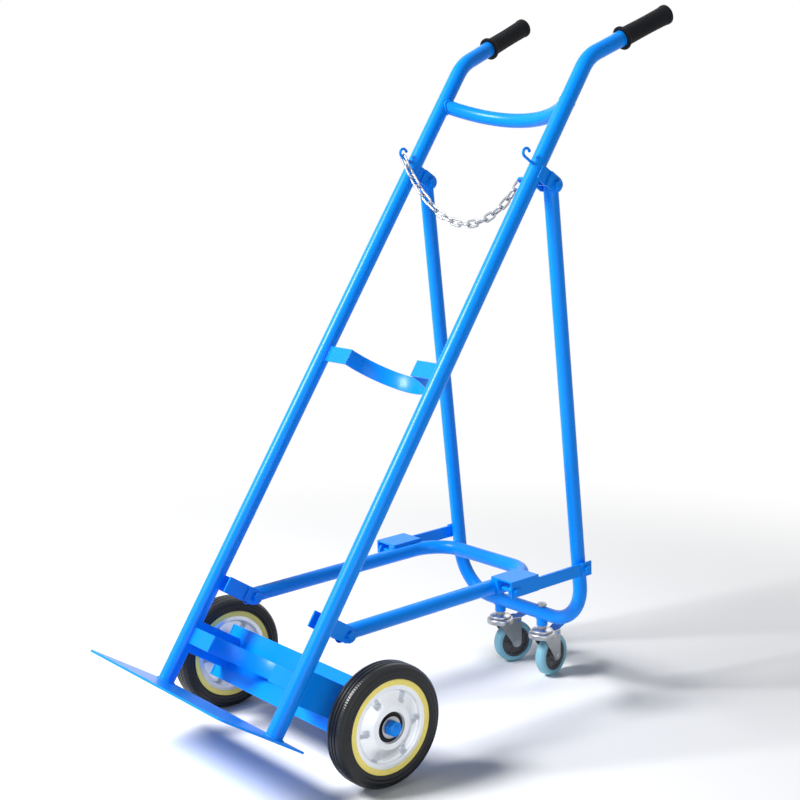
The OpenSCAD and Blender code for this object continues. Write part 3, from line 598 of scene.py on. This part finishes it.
def buildBand(side):
    half = wheelHalf - band["inset"]
    corners = [(hubRadius + hair, -half, band["innerRound"]), (bandRadius, -half, band["outerRound"])]
    bm = bmesh.new()
    addTurned(bm, roundedOutline(corners + mirrored(corners)), wheelPlace(side), steps=160)
    newPiece(side + "YellowRing", bm, "yellow_band", side + "_wheel", [side + "_band"])


def buildHub(side):
    reach, heights = hubOutline()

    def faceHeight(r, a):
        share = pocketShare(r, a)
        return float(np.interp(r, reach, heights)) * (1 - share) + hub["pocketBottom"] * share

    bm = bmesh.new()
    radii = evenSteps(hub["boreRadius"], hubRadius, hub["radialSteps"])
    addDisc(bm, radii, faceHeight, wheelPlace(side), hub["turnSteps"])
    newPiece(side + "CastHub", bm, "cast_hub", side + "_wheel", [side + "_hub"], sharp=50)


def buildBearings(side):
    bm = bmesh.new()
    outer, inner = hub["boreRadius"] - bearing["play"], axleRadius + bearing["play"]
    sealOut, sealIn = outer - bearing["outerRace"], inner + bearing["innerRace"]
    face, sealEdge = wheelHalf - bearing["recess"], 3
    for sign in (-1, 1):
        top, low = sign * face, sign * (face - bearing["width"])
        dip = sign * (face - bearing["sealDip"])
        outline = [(inner, low), (inner, top), (sealIn, top), (sealIn, dip), (sealOut, dip), (sealOut, top),
                   (outer, top), (outer, low)]
        addTurned(bm, outline, wheelPlace(side), finishAt=lambda k: 0 if k == sealEdge else 1)
    newPiece(side + "SealedBearings", bm, "bearing", side + "_wheel", [side + "_bearings"], extra=["zinc"])


for side in sides:
    for build in (buildTyre, buildBand, buildHub, buildBearings):
        build(side)
print("wheels built")


# axle, spacers, washers and nuts

axleFit = inMm(washerRadius=22, washerEdge=0.7, spacerRadius=15, spacerEdge=0.8, nutAcross=28,
               threadPitch=1.75, threadDepth=0.9, threadLength=24, tip=1.5, core=0.01)


def threadOutline(radius, start, stop, pitch, depth):
    # a run of thread ridges from start to stop, as radius and height points
    turns = max(1, int(abs(stop - start) / pitch))
    step = (stop - start) / turns
    points = []
    for k in range(turns):
        points += flatPoints((radius, start + step * k), (radius - depth, start + step * (k + 0.5)))
    return points + flatPoints((radius, stop))


def buildAxle():
    end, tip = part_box("axle")[1].x, axleFit["tip"]
    half = flatPoints((axleRadius, 0))
    half += threadOutline(axleRadius, end - axleFit["threadLength"], end - tip, axleFit["threadPitch"],
                          axleFit["threadDepth"])
    half += flatPoints((axleRadius - tip, end), (axleFit["core"], end))
    outline = [Vector((p.x, -p.y)) for p in reversed(half[1:])] + half
    bareEnds = (2, len(outline) - 4)
    bm = bmesh.new()
    addTurned(bm, outline, pointing(jointAt["left_wheel_spin"], xAxis), steps=64, closed=False,
              finishAt=lambda k: 0 if bareEnds[0] < k < bareEnds[1] else 1)
    newPiece("axleShaft", bm, "zinc", "frame", ["axle"], extra=["blue_paint"], sharp=50)


def buildAxleRings(name, node, radius, edge):
    bm = bmesh.new()
    for part in looseParts(node):
        low, high, centre = boxOf(part)
        half = (high[0] - low[0]) / 2
        corners = [(axleRadius + fitGap, -half, edge / 2), (radius, -half, edge)]
        addTurned(bm, roundedOutline(corners + mirrored(corners), 3), pointing(centre, xAxis), steps=72)
    newPiece(name, bm, "zinc", "frame", [node])


def buildAxleNuts():
    bm = bmesh.new()
    for part in looseParts("axle_nuts"):
        low, high, start = boxOf(part)
        outward = outwardFrom(start)
        start.x = low[0] if start.x > 0 else high[0]
        addHexagon(bm, pointing(start, outward), axleFit["nutAcross"], high[0] - low[0],
                   bore=axleRadius + fitGap)
    newPiece("axleHexNuts", bm, "blue_paint", "frame", ["axle_nuts"])


buildAxle()
buildAxleRings("axleSpacerRings", "axle_spacers", axleFit["spacerRadius"], axleFit["spacerEdge"])
buildAxleRings("axleFlatWashers", "axle_washers", axleFit["washerRadius"], axleFit["washerEdge"])
buildAxleNuts()
print("axle built")


# grips

grip = {
    **inMm(radius=21, collar=26, collarLength=5, collarRound=1.5, neck=3, neckRound=1, tubeRadius=17.5,
           ribDepth=0.7, ribStart=4, ribStop=14, waist=0.8, fluteDepth=0.35, tip=22, tipRise=5, tipEdge=3,
           tipRound=2, cap=4),
    "ribs": 26, "ribSteps": ((0.15, 0.0), (0.5, 0.0), (0.65, 1.0), (0.85, 1.0)), "flutes": 36,
}


def buildGrip(side):
    centre, axes, size = mainAxes(np.array([v.co for v in nodes[side + "_grip"].data.vertices]))
    outward = axes[0] if axes[0].y > 0 else -axes[0]
    length = float(size[0])
    start = centre - outward * length / 2
    body, collar, wide = grip["radius"], grip["collarLength"], grip["collar"]
    first, last = collar + grip["ribStart"], length - grip["ribStop"]
    bore, inside = grip["tubeRadius"] + fitGap, length - grip["cap"]
    soft, tip, tipRound = grip["collarRound"], grip["tip"], grip["tipRound"]
    outline = flatPoints((bore, 0))
    outline += roundedOutline(
        [(grip["tubeRadius"], 0, 0), (wide, 0, soft), (wide, collar, soft),
         (body, collar + grip["neck"], grip["neckRound"]), (body, first, 0)], closed=False)[1:]
    for k in range(grip["ribs"]):
        here = first + (last - first) * k / grip["ribs"]
        step = (last - first) / grip["ribs"]
        waist = grip["waist"] * sin(pi * (k + 0.5) / grip["ribs"])
        for share, dip in grip["ribSteps"]:
            outline.append(Vector((body - waist - dip * grip["ribDepth"], here + share * step)))
    outline += roundedOutline(
        [(body, last, 0), (tip, last + grip["tipRise"], tipRound),
         (tip, length - grip["tipEdge"], tipRound), (body - tipRound, length, tipRound),
         (hair, length, 0)], closed=False)
    outline += flatPoints((hair, inside), (bore, inside))

    def fluted(r, h, a, i):
        if first < h < last:
            return r - grip["fluteDepth"] * (0.5 + 0.5 * cos(grip["flutes"] * a))
        return r

    bm = bmesh.new()
    addTurned(bm, outline, pointing(start, outward), steps=4 * grip["flutes"], radiusAt=fluted)
    newPiece(side + "RibbedGrip", bm, "grip", "frame", [side + "_grip"], sharp=55)


for side in sides:
    buildGrip(side)
print("grips built")


# bolts and rivets; head sizes are shares of the diameter, the washer a share of the head

boltHead = {"height": 0.6, "across": 1.6, "washer": 0.56, "washerFace": 0.6 * mm}
# node, body, diameter, where the heads are, slot
boltSets = {
    "legPivotBolts": ("leg_pivot_bolts", "frame", 12 * mm, "both", "blue_paint"),
    "bracePivotBolts": ("brace_pivot_bolts", "frame", 12 * mm, "both", "blue_paint"),
    "kneeBolts": ("knee_bolts", "brace", 10 * mm, "outer", "blue_paint"),
    "linkRivets": ("link_rivets", "links", 10 * mm, "head", "blue_paint"),
    "leftCasterBolt": ("left_caster_axle", "left_caster", 8 * mm, "both", "zinc"),
    "rightCasterBolt": ("right_caster_axle", "right_caster", 8 * mm, "both", "zinc"),
}


def addBoltHead(bm, start, outward, diameter):
    # a hexagon head on a thin round washer face
    height, across = boltHead["height"] * diameter, boltHead["across"] * diameter
    place, face, wide = pointing(start, outward), boltHead["washerFace"], boltHead["washer"] * across
    addTurned(bm, [(hair, 0), (wide, 0), (wide, face), (hair, face)], place, steps=48)
    addHexagon(bm, place @ raisedBy(0.5 * face), across, height - 0.5 * face, chamferLow=False)


def buildBolts(name, node, body, diameter, ends, slotName):
    bm = bmesh.new()
    r, headHeight = diameter / 2, boltHead["height"] * diameter
    for part in looseParts(node):
        if ends == "both":
            centre, axes, size = mainAxes(part)
            outward, reach = axes[0], float(size[0]) / 2
        else:
            low, high, centre = boxOf(part)
            outward, reach = outwardFrom(centre), float(high[0] - low[0]) / 2
        if ends == "head":
            addBoltHead(bm, centre - outward * reach, outward, diameter)
            continue
        addBoltHead(bm, centre + outward * (reach - headHeight), outward, diameter)
        tail = reach
        if ends == "both":
            addBoltHead(bm, centre - outward * (reach - headHeight), -outward, diameter)
            tail = reach - headHeight
        length = tail + reach - headHeight
        shank = along(centre - outward * tail, centre + outward * reach)
        addTurned(bm, [(hair, 0), (r, 0), (r, length), (hair, length)], shank, steps=40)
    newPiece(name, bm, slotName, body, [node])


for name, facts in boltSets.items():
    buildBolts(name, *facts)
print("bolts built:", len(boltSets))


# chain: smooth wire links with a butt weld, set where the CAD links are

chainLink = {**inMm(wire=2.5, bendRadius=7, weldSwell=0.45, weldLength=5),
             "wireSides": 16, "bendSteps": 14, "legSteps": 12}


def addChainLink(bm, points, weldEnd):
    centre, axes, size = mainAxes(points)
    long, wide = axes[0], axes[1]
    wire, bend = chainLink["wire"], chainLink["bendRadius"]
    straight = float(size[0]) / 2 - wire - bend
    path, swell = [], []
    for end in (1, -1):
        for k in range(chainLink["bendSteps"]):
            a = -pi / 2 + pi * k / chainLink["bendSteps"]
            path.append(centre + end * (long * (straight + bend * cos(a)) + wide * bend * sin(a)))
            swell.append(0.0)
        for k in range(chainLink["legSteps"]):
            x = straight * (1 - 2 * k / chainLink["legSteps"])
            path.append(centre + end * (long * x + wide * bend))
            bulge = exp(-(2 * x / chainLink["weldLength"]) ** 2)
            swell.append(chainLink["weldSwell"] * bulge if end == weldEnd else 0.0)
    addSwept(bm, path, lambda k: wire + swell[k], chainLink["wireSides"], closed=True)


def buildChain():
    bm = bmesh.new()
    parts = looseParts("chain")
    for part in parts:
        addChainLink(bm, part, dice.choice((1, -1)))
    newPiece("weldedChain", bm, "zinc", "chain", ["chain"], sharp=60)
    return len(parts)


print("chain built, links:", buildChain())


# casters

caster = inMm(radius=50, width=26, coreRadius=37, tubeAxis=160, tubeRadius=16)
core = {**inMm(bore=4.05, boss=13, bossEdge=0.5, bossProud=2, bossFoot=2.5, bossSlope=3, rimSunk=3, lip=6,
               lipSlope=1.5, dish=5.5, ribHalf=3.2),
        "ribs": 5, "ribShare": 0.75, "radialSteps": 30, "turnSteps": 180}
tread = inMm(edgeRound=1, sideWidth=5, sideRound=4, crownEdge=6, crownRound=5, seamHalf=0.6, seamDepth=0.25)
stem = {**inMm(radius=6, headEdge=0.8, headHeight=5, threadPitch=1.75, threadDepth=0.8, threadSunk=2, tip=1,
               nutAcross=19.2, nutHeight=8, nutSunk=1), "headShare": 1.7}
cup = inMm(forkTop=114, gap=0.6, radius=25.6, height=9, sideHeight=5, topRadius=15, edgeRound=0.5,
           sideRound=2.5, topRound=2)
pedal = {**inMm(tipStart=40, rise=2, plate=3, ribPitch=3, ribRadius=0.8, ribHalf=11),
         "tilt": 18, "tipTilt": 24, "ribs": 4, "ribShares": (-1.0, -0.97, -0.9, 0.9, 0.97, 1.0),
         "ribSwell": (0.3, 0.75, 1.0, 1.0, 0.75, 0.3)}


def rollerPlace(side):
    return pointing(jointAt[side + "_caster_spin"], jointAxis[side + "_caster_spin"])


def buildCasterCore(side):
    # both faces are dished, with ribs from the boss to the rim
    half = caster["width"] / 2
    proud, rim = half + core["bossProud"], half - core["rimSunk"]

    def faceHeight(r, a):
        if r < core["boss"] - core["bossEdge"]:
            return proud
        t = limited((r - (caster["coreRadius"] - core["lip"])) / core["lipSlope"])
        s = limited((core["boss"] + core["bossFoot"] - r) / core["bossSlope"])
        off = (a * core["ribs"] / (2 * pi)) % 1.0 - 0.5
        rib = max(0.0, 1 - abs(off) * 2 * pi * r / core["ribs"] / core["ribHalf"]) ** 0.5
        low = rim - core["dish"] + rib * core["ribShare"] * core["dish"]
        return max(low * (1 - t) + rim * t, low * (1 - s) + proud * s)

    bm = bmesh.new()
    radii = evenSteps(core["bore"], caster["coreRadius"], core["radialSteps"])
    addDisc(bm, radii, faceHeight, rollerPlace(side), core["turnSteps"])
    newPiece(side + "RibbedCore", bm, "caster_core", side + "_caster_roller", [side + "_caster_wheel"])


def buildCasterTread(side):
    inner, outer, half = caster["coreRadius"] + fitGap, caster["radius"], caster["width"] / 2
    corners = [(inner, -half, tread["edgeRound"]), (outer - tread["sideWidth"], -half, tread["sideRound"]),
               (outer, -half + tread["crownEdge"], tread["crownRound"]), (outer, -tread["seamHalf"], 0)]
    seam = [(outer - tread["seamDepth"], 0, 0)]
    bm = bmesh.new()
    addTurned(bm, roundedOutline(corners + seam + mirrored(corners), 5), rollerPlace(side), steps=128)
    newPiece(side + "RollerTread", bm, "caster_tread", side + "_caster_roller", [side + "_caster_tread"])


def buildCasterStem(side):
    # a threaded bolt with a dust cup and two nuts
    low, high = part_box(side + "_caster_stem")
    place = Matrix.Translation(((low.x + high.x) / 2, (low.y + high.y) / 2, 0))
    r, head, shoulder = stem["radius"], stem["headShare"] * stem["radius"], low.z + stem["headHeight"]
    foot, wide = cup["forkTop"] + cup["gap"], cup["radius"]
    roof, upper = foot + cup["height"], caster["tubeAxis"] + caster["tubeRadius"]
    bm = bmesh.new()
    shaft = flatPoints((hair, low.z), (head, low.z + stem["headEdge"]), (head, shoulder), (r, shoulder))
    shaft += threadOutline(r, upper - stem["threadSunk"], high.z - stem["tip"], stem["threadPitch"],
                           stem["threadDepth"])
    shaft += flatPoints((r - stem["tip"], high.z), (hair, high.z))
    addTurned(bm, shaft, place, steps=48, closed=False)
    cover = roundedOutline([(r, foot, 0), (wide, foot, cup["edgeRound"]),
                            (wide, foot + cup["sideHeight"], cup["sideRound"]),
                            (cup["topRadius"], roof, cup["topRound"]), (r, roof, 0)])
    addTurned(bm, cover, place, steps=72)
    for start in (roof - stem["nutSunk"], upper):
        addHexagon(bm, place @ raisedBy(start), stem["nutAcross"], stem["nutHeight"], bore=r)
    newPiece(side + "ThreadedStem", bm, "zinc", "leg", [side + "_caster_stem"], sharp=45)


def buildPedalRibs(side):
    # low bars across the tip of a brake pedal, against slipping
    across = jointAxis[side + "_caster_spin"]
    turned = Matrix((across, zAxis.cross(across), (0, 0, 1))).transposed().to_4x4()
    place = Matrix.Translation(jointAt[side + "_brake_press"]) @ turned @ raisedBy(pedal["rise"])
    place = place @ turnedX(radians(pedal["tilt"])) @ Matrix.Translation((0, pedal["tipStart"], 0))
    place = place @ turnedX(radians(pedal["tipTilt"]))
    bm = bmesh.new()
    for k in range(pedal["ribs"]):
        y = (k + 1) * pedal["ribPitch"]
        path = [place @ Vector((t * pedal["ribHalf"], y, pedal["plate"])) for t in pedal["ribShares"]]
        addSwept(bm, path, lambda i: pedal["ribRadius"] * pedal["ribSwell"][i], ringSides=12)
    newPiece(side + "PedalRibs", bm, "blue_paint", side + "_brake")


for side in sides:
    for build in (buildCasterCore, buildCasterTread, buildCasterStem, buildPedalRibs):
        build(side)
print("casters built")


# weld beads, in the chassis frame: x across, v to the rear, u up the rails

chassis = {"lean": radians(33), **inMm(railX=202.5, railRadius=17.5, tubeRadius=16)}
bead = {**inMm(radius=2.2, pitch=2.6), "ripple": 0.16, "stepsPerRipple": 4, "uneven": 0.08,
        "endShare": 0.45, "endGrowth": 0.3, "sides": 8, "fewest": 8}
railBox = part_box("left_rail")
railFoot = Vector((0, railBox[0].y + chassis["railRadius"] * cos(chassis["lean"]),
                   railBox[0].z + chassis["railRadius"] * sin(chassis["lean"])))
chassisTurn = Matrix.Translation(railFoot) @ turnedX(-chassis["lean"])


def onChassis(x, v, u):
    return chassisTurn @ Vector((x, v, u))


def chassisWay(x, v, u):
    return chassisTurn.to_3x3() @ Vector((x, v, u))


def addBead(bm, points, size=1.0, closed=False):
    # a rippled bead along points, thinner at open ends
    nothing = 1e-9
    line = points + [points[0]] if closed else points
    lengths = [0.0]
    for a, b in zip(line, line[1:]):
        lengths.append(lengths[-1] + (b - a).length)
    count = max(bead["fewest"], int(lengths[-1] / (bead["pitch"] / bead["stepsPerRipple"])))
    total = count if closed else count + 1
    path = []
    for k in range(total):
        s = lengths[-1] * k / count
        i = max(j for j in range(len(lengths)) if lengths[j] <= s + nothing)
        i = min(i, len(line) - 2)
        t = (s - lengths[i]) / max(lengths[i + 1] - lengths[i], nothing)
        path.append(line[i].lerp(line[i + 1], t))
    jitter = [1 + dice.uniform(-bead["uneven"], bead["uneven"]) for k in range(total)]

    def thickness(k):
        wave = 1 + bead["ripple"] * abs(sin(pi * k / bead["stepsPerRipple"]))
        end = 1.0 if closed else min(1.0, bead["endShare"] + bead["endGrowth"] * min(k, total - 1 - k))
        return size * bead["radius"] * wave * end * jitter[k]

    addSwept(bm, path, thickness, bead["sides"], closed=closed)


def copedRing(origin, axis, tubeRadius, toward, barRadius, steps=72):
    # where a round bar of barRadius, running along toward, meets a tube about axis
    first, toward = axis.normalized(), toward.normalized()
    up = (first - toward * first.dot(toward)).normalized()
    other = toward.cross(up)
    flatWay = toward - first * toward.dot(first)
    ring = []
    for a in turnAngles(steps):
        start = origin + (up * cos(a) + other * sin(a)) * barRadius
        flatStart = start - origin - first * (start - origin).dot(first)
        qa, qb = flatWay.length_squared, 2 * flatStart.dot(flatWay)
        qc = flatStart.length_squared - tubeRadius ** 2
        root = max(qb * qb - 4 * qa * qc, 0.0)
        ring.append(start + toward * ((-qb + sqrt(root)) / (2 * qa)))
    return ring


def uLine(x, v, low, high, steps=6):
    return [onChassis(x, v, u) for u in evenSteps(low, high, steps)]


crossBar = inMm(bow=70, drop=109, railLength=1535)
saddles = {**inMm(height=36, thickness=4), "places": (108 * mm, 781 * mm)}
carrier = inMm(axleU=107, plateHeight=118, plateV=120, plate=5, plateInset=2, cheekHeight=70, cheekX=11.5,
               bracketX=233.5)
clevisWelds = {
    "span": (-17 * mm, 15 * mm),
    "leg": dict(u=1252 * mm, places=((188.0 * mm, 9.8 * mm), (220.8 * mm, -0.5 * mm))),
    "brace": dict(u=235 * mm, places=((203.3 * mm, 17.5 * mm), (197.8 * mm, 16.9 * mm))),
}
hookWeld = {**inMm(u=1262, rod=3), "steps": 40}
weldSizes = {"foot": 1.3, "footGap": 0.6 * mm, "thin": 0.8, "cheek": 0.9, "hook": 0.7, "sharp": 70}


def railSurfaceV(x):
    return sqrt(max(chassis["railRadius"] ** 2 - (x - chassis["railX"]) ** 2, 0.0))


def buildFrameWelds():
    bm = bmesh.new()
    railAxis, railX, r = chassisWay(0, 0, 1), chassis["railX"], chassis["railRadius"]
    barRise = (railX ** 2 + crossBar["bow"] ** 2) / (2 * crossBar["bow"])
    barTurn = asin(railX / barRise)
    axleU, thin, span = carrier["axleU"], weldSizes["thin"], clevisWelds["span"]
    footRadius = r + weldSizes["footGap"]
    for sign in (-1, 1):
        foot = [onChassis(sign * railX + footRadius * cos(a), footRadius * sin(a), 0)
                for a in turnAngles(72)]
        addBead(bm, foot, weldSizes["foot"], closed=True)
        barWay = chassisWay(-sign * cos(barTurn), sin(barTurn), 0)
        barFoot = onChassis(sign * railX, 0, crossBar["railLength"] - crossBar["drop"])
        addBead(bm, copedRing(barFoot, railAxis, r, barWay, chassis["tubeRadius"]), closed=True)
        half = saddles["height"] / 2
        for u in saddles["places"]:
            for v in (0.0, saddles["thickness"]):
                x = sign * (railX - sqrt(r ** 2 - v ** 2))
                addBead(bm, uLine(x, v, u - half, u + half), thin)
        half = carrier["cheekHeight"] / 2
        for x in (railX - carrier["cheekX"], railX + carrier["cheekX"]):
            for v in (railSurfaceV(x), carrier["plateV"]):
                addBead(bm, uLine(sign * x, v, axleU - half, axleU + half), weldSizes["cheek"])
        half = carrier["plateHeight"] / 2 - carrier["plateInset"]
        for v in (carrier["plateV"], carrier["plateV"] + carrier["plate"]):
            addBead(bm, uLine(sign * carrier["bracketX"], v, axleU - half, axleU + half), thin)
        for facts in (clevisWelds["leg"], clevisWelds["brace"]):
            for x, v in facts["places"]:
                addBead(bm, uLine(sign * x, v, facts["u"] + span[0], facts["u"] + span[1]), thin)
        hookFoot = onChassis(sign * railX, 0, hookWeld["u"])
        hook = copedRing(hookFoot, railAxis, r, chassisWay(0, -1, 0), hookWeld["rod"], hookWeld["steps"])
        addBead(bm, hook, weldSizes["hook"], closed=True)
    newPiece("frameWelds", bm, "blue_paint", "frame", sharp=weldSizes["sharp"])


def buildLegWelds():
    sunk = 0.1 * mm
    bm = bmesh.new()
    for side in sides:
        low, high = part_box(side + "_caster_socket")
        top = Vector(((low.x + high.x) / 2, (low.y + high.y) / 2, caster["tubeAxis"]))
        ring = copedRing(top, xAxis, caster["tubeRadius"], -zAxis, (high.x - low.x) / 2 - sunk)
        addBead(bm, ring, weldSizes["cheek"], closed=True)
    newPiece("legWelds", bm, "blue_paint", "leg", sharp=weldSizes["sharp"])


kneeWeld = {"start": -12, "stop": 40, "step": 4, "low": -12.8 * mm}


def buildBraceWelds():
    # beads along both edges where a knee channel sits on its arm
    bm = bmesh.new()
    pivot, knee = jointAt["brace_fold"], jointAt["link_fold"]
    way = (knee - pivot).normalized()
    up = xAxis.cross(way)
    r, drop = chassis["tubeRadius"], kneeWeld["low"]
    places = range(kneeWeld["start"], kneeWeld["stop"] + 1, kneeWeld["step"])
    for side, sign in sides.items():
        low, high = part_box(side + "_knee_bracket")
        inner = low.x if sign > 0 else high.x
        for x, z in ((0.0, r), (sqrt(r ** 2 - drop ** 2), drop)):
            start = Vector((inner + sign * x, knee.y, knee.z)) + up * z
            addBead(bm, [start + way * (t * mm) for t in places], weldSizes["thin"])
    newPiece("braceWelds", bm, "blue_paint", "brace", sharp=weldSizes["sharp"])


buildFrameWelds()
buildLegWelds()
buildBraceWelds()
print("welds built")


# floor, light and camera

stage = {"size": 14.0, "cells": 8, "color": (0.93, 0.93, 0.935, 1), "roughness": 0.9,
         "clearFrom": 1.1, "clearTo": 2.4}
lamps = {
    "frontKey": dict(place=(-1.5, -3.2, 3.9), size=1.5, power=390.0, color=(1, 1, 1)),
    "sideFill": dict(place=(3.4, -1.5, 1.3), size=2.2, power=40.0, color=(0.90, 0.95, 1.0)),
    "backRim": dict(place=(-1.6, 3.0, 2.8), size=2.0, power=26.0, color=(1, 1, 1)),
}
sky = {"level": 0.05, "color": (0.74, 0.86, 1.0, 1), "seenColor": (1, 1, 1, 1)}
aim = Vector((0, 0, 0.65))


def seenDirectly(tree):
    # 1 for camera, glossy and transmission rays
    light = addNode(tree, "LightPath")
    seen = mathNode(tree, "ADD", light["Is Camera Ray"], light["Is Glossy Ray"], clamp=True)
    return mathNode(tree, "ADD", seen, light["Is Transmission Ray"], clamp=True)


def buildFloor():
    bm = bmesh.new()
    bmesh.ops.create_grid(bm, x_segments=stage["cells"], y_segments=stage["cells"], size=stage["size"] / 2)
    mesh = bpy.data.meshes.new("studioFloor")
    bm.to_mesh(mesh)
    bm.free()
    floor = addObject("studioFloor", mesh)
    material = bpy.data.materials.new("paleFloor")
    material.use_nodes = True
    tree = material.node_tree
    shader = tree.nodes["Principled BSDF"]
    feed(tree, shader.inputs, {"Base Color": stage["color"], "Roughness": stage["roughness"],
                               "Specular IOR Level": 0.0})
    reach = addNode(tree, "VectorMath", {0: objectCoords(tree)}, operation="LENGTH")["Value"]
    far = rangeNode(tree, reach, stage["clearFrom"], stage["clearTo"])
    cleared = mathNode(tree, "MULTIPLY", far, seenDirectly(tree))
    glow = addNode(tree, "Emission")[0]
    blend = addNode(tree, "MixShader", {0: cleared, 1: shader.outputs[0], 2: glow})[0]
    feed(tree, tree.nodes["Material Output"].inputs, {"Surface": blend})
    mesh.materials.append(material)


def buildLight():
    world = bpy.data.worlds.new("studioSky")
    scene.world = world
    world.use_nodes = True
    tree = world.node_tree
    seen = seenDirectly(tree)
    level = mathNode(tree, "ADD", mathNode(tree, "MULTIPLY", seen, 1.0 - sky["level"]), sky["level"])
    color = mixColours(tree, seen, sky["color"], sky["seenColor"])
    feed(tree, tree.nodes["Background"].inputs, {"Strength": level, "Color": color})
    for name, facts in lamps.items():
        lamp = bpy.data.lights.new(name, "AREA")
        lamp.size = facts["size"]
        lamp.energy = facts["power"]
        lamp.color = facts["color"]
        place = Vector(facts["place"])
        addObject(name, lamp).matrix_world = along(place, 2 * place - aim)


camera = {"place": (2.4052, -1.8838, 1.2221), "turn": 48.4663, "pitch": -10.1682, "roll": -0.288,
          "sensor": 36, "lens": 65.25, "shiftX": -0.1, "shiftY": 0.0125}


def buildCamera():
    turn, pitch, roll = (radians(camera[k]) for k in ("turn", "pitch", "roll"))
    right = Vector((cos(turn), sin(turn), 0))
    ahead = Vector((-sin(turn), cos(turn), 0)) * cos(pitch) + zAxis * sin(pitch)
    up = right.cross(ahead)
    across = right * cos(roll) + up * sin(roll)
    upright = up * cos(roll) - right * sin(roll)
    lens = bpy.data.cameras.new("photoCamera")
    lens.sensor_width = camera["sensor"]
    lens.lens = camera["lens"]
    lens.shift_x, lens.shift_y = camera["shiftX"], camera["shiftY"]
    turned = Matrix((across, upright, -ahead)).transposed().to_4x4()
    scene.camera = addObject("photoCamera", lens)
    scene.camera.matrix_world = Matrix.Translation(camera["place"]) @ turned


buildFloor()
buildLight()
buildCamera()
scene.view_settings.view_transform = "Standard"
print("stage set")
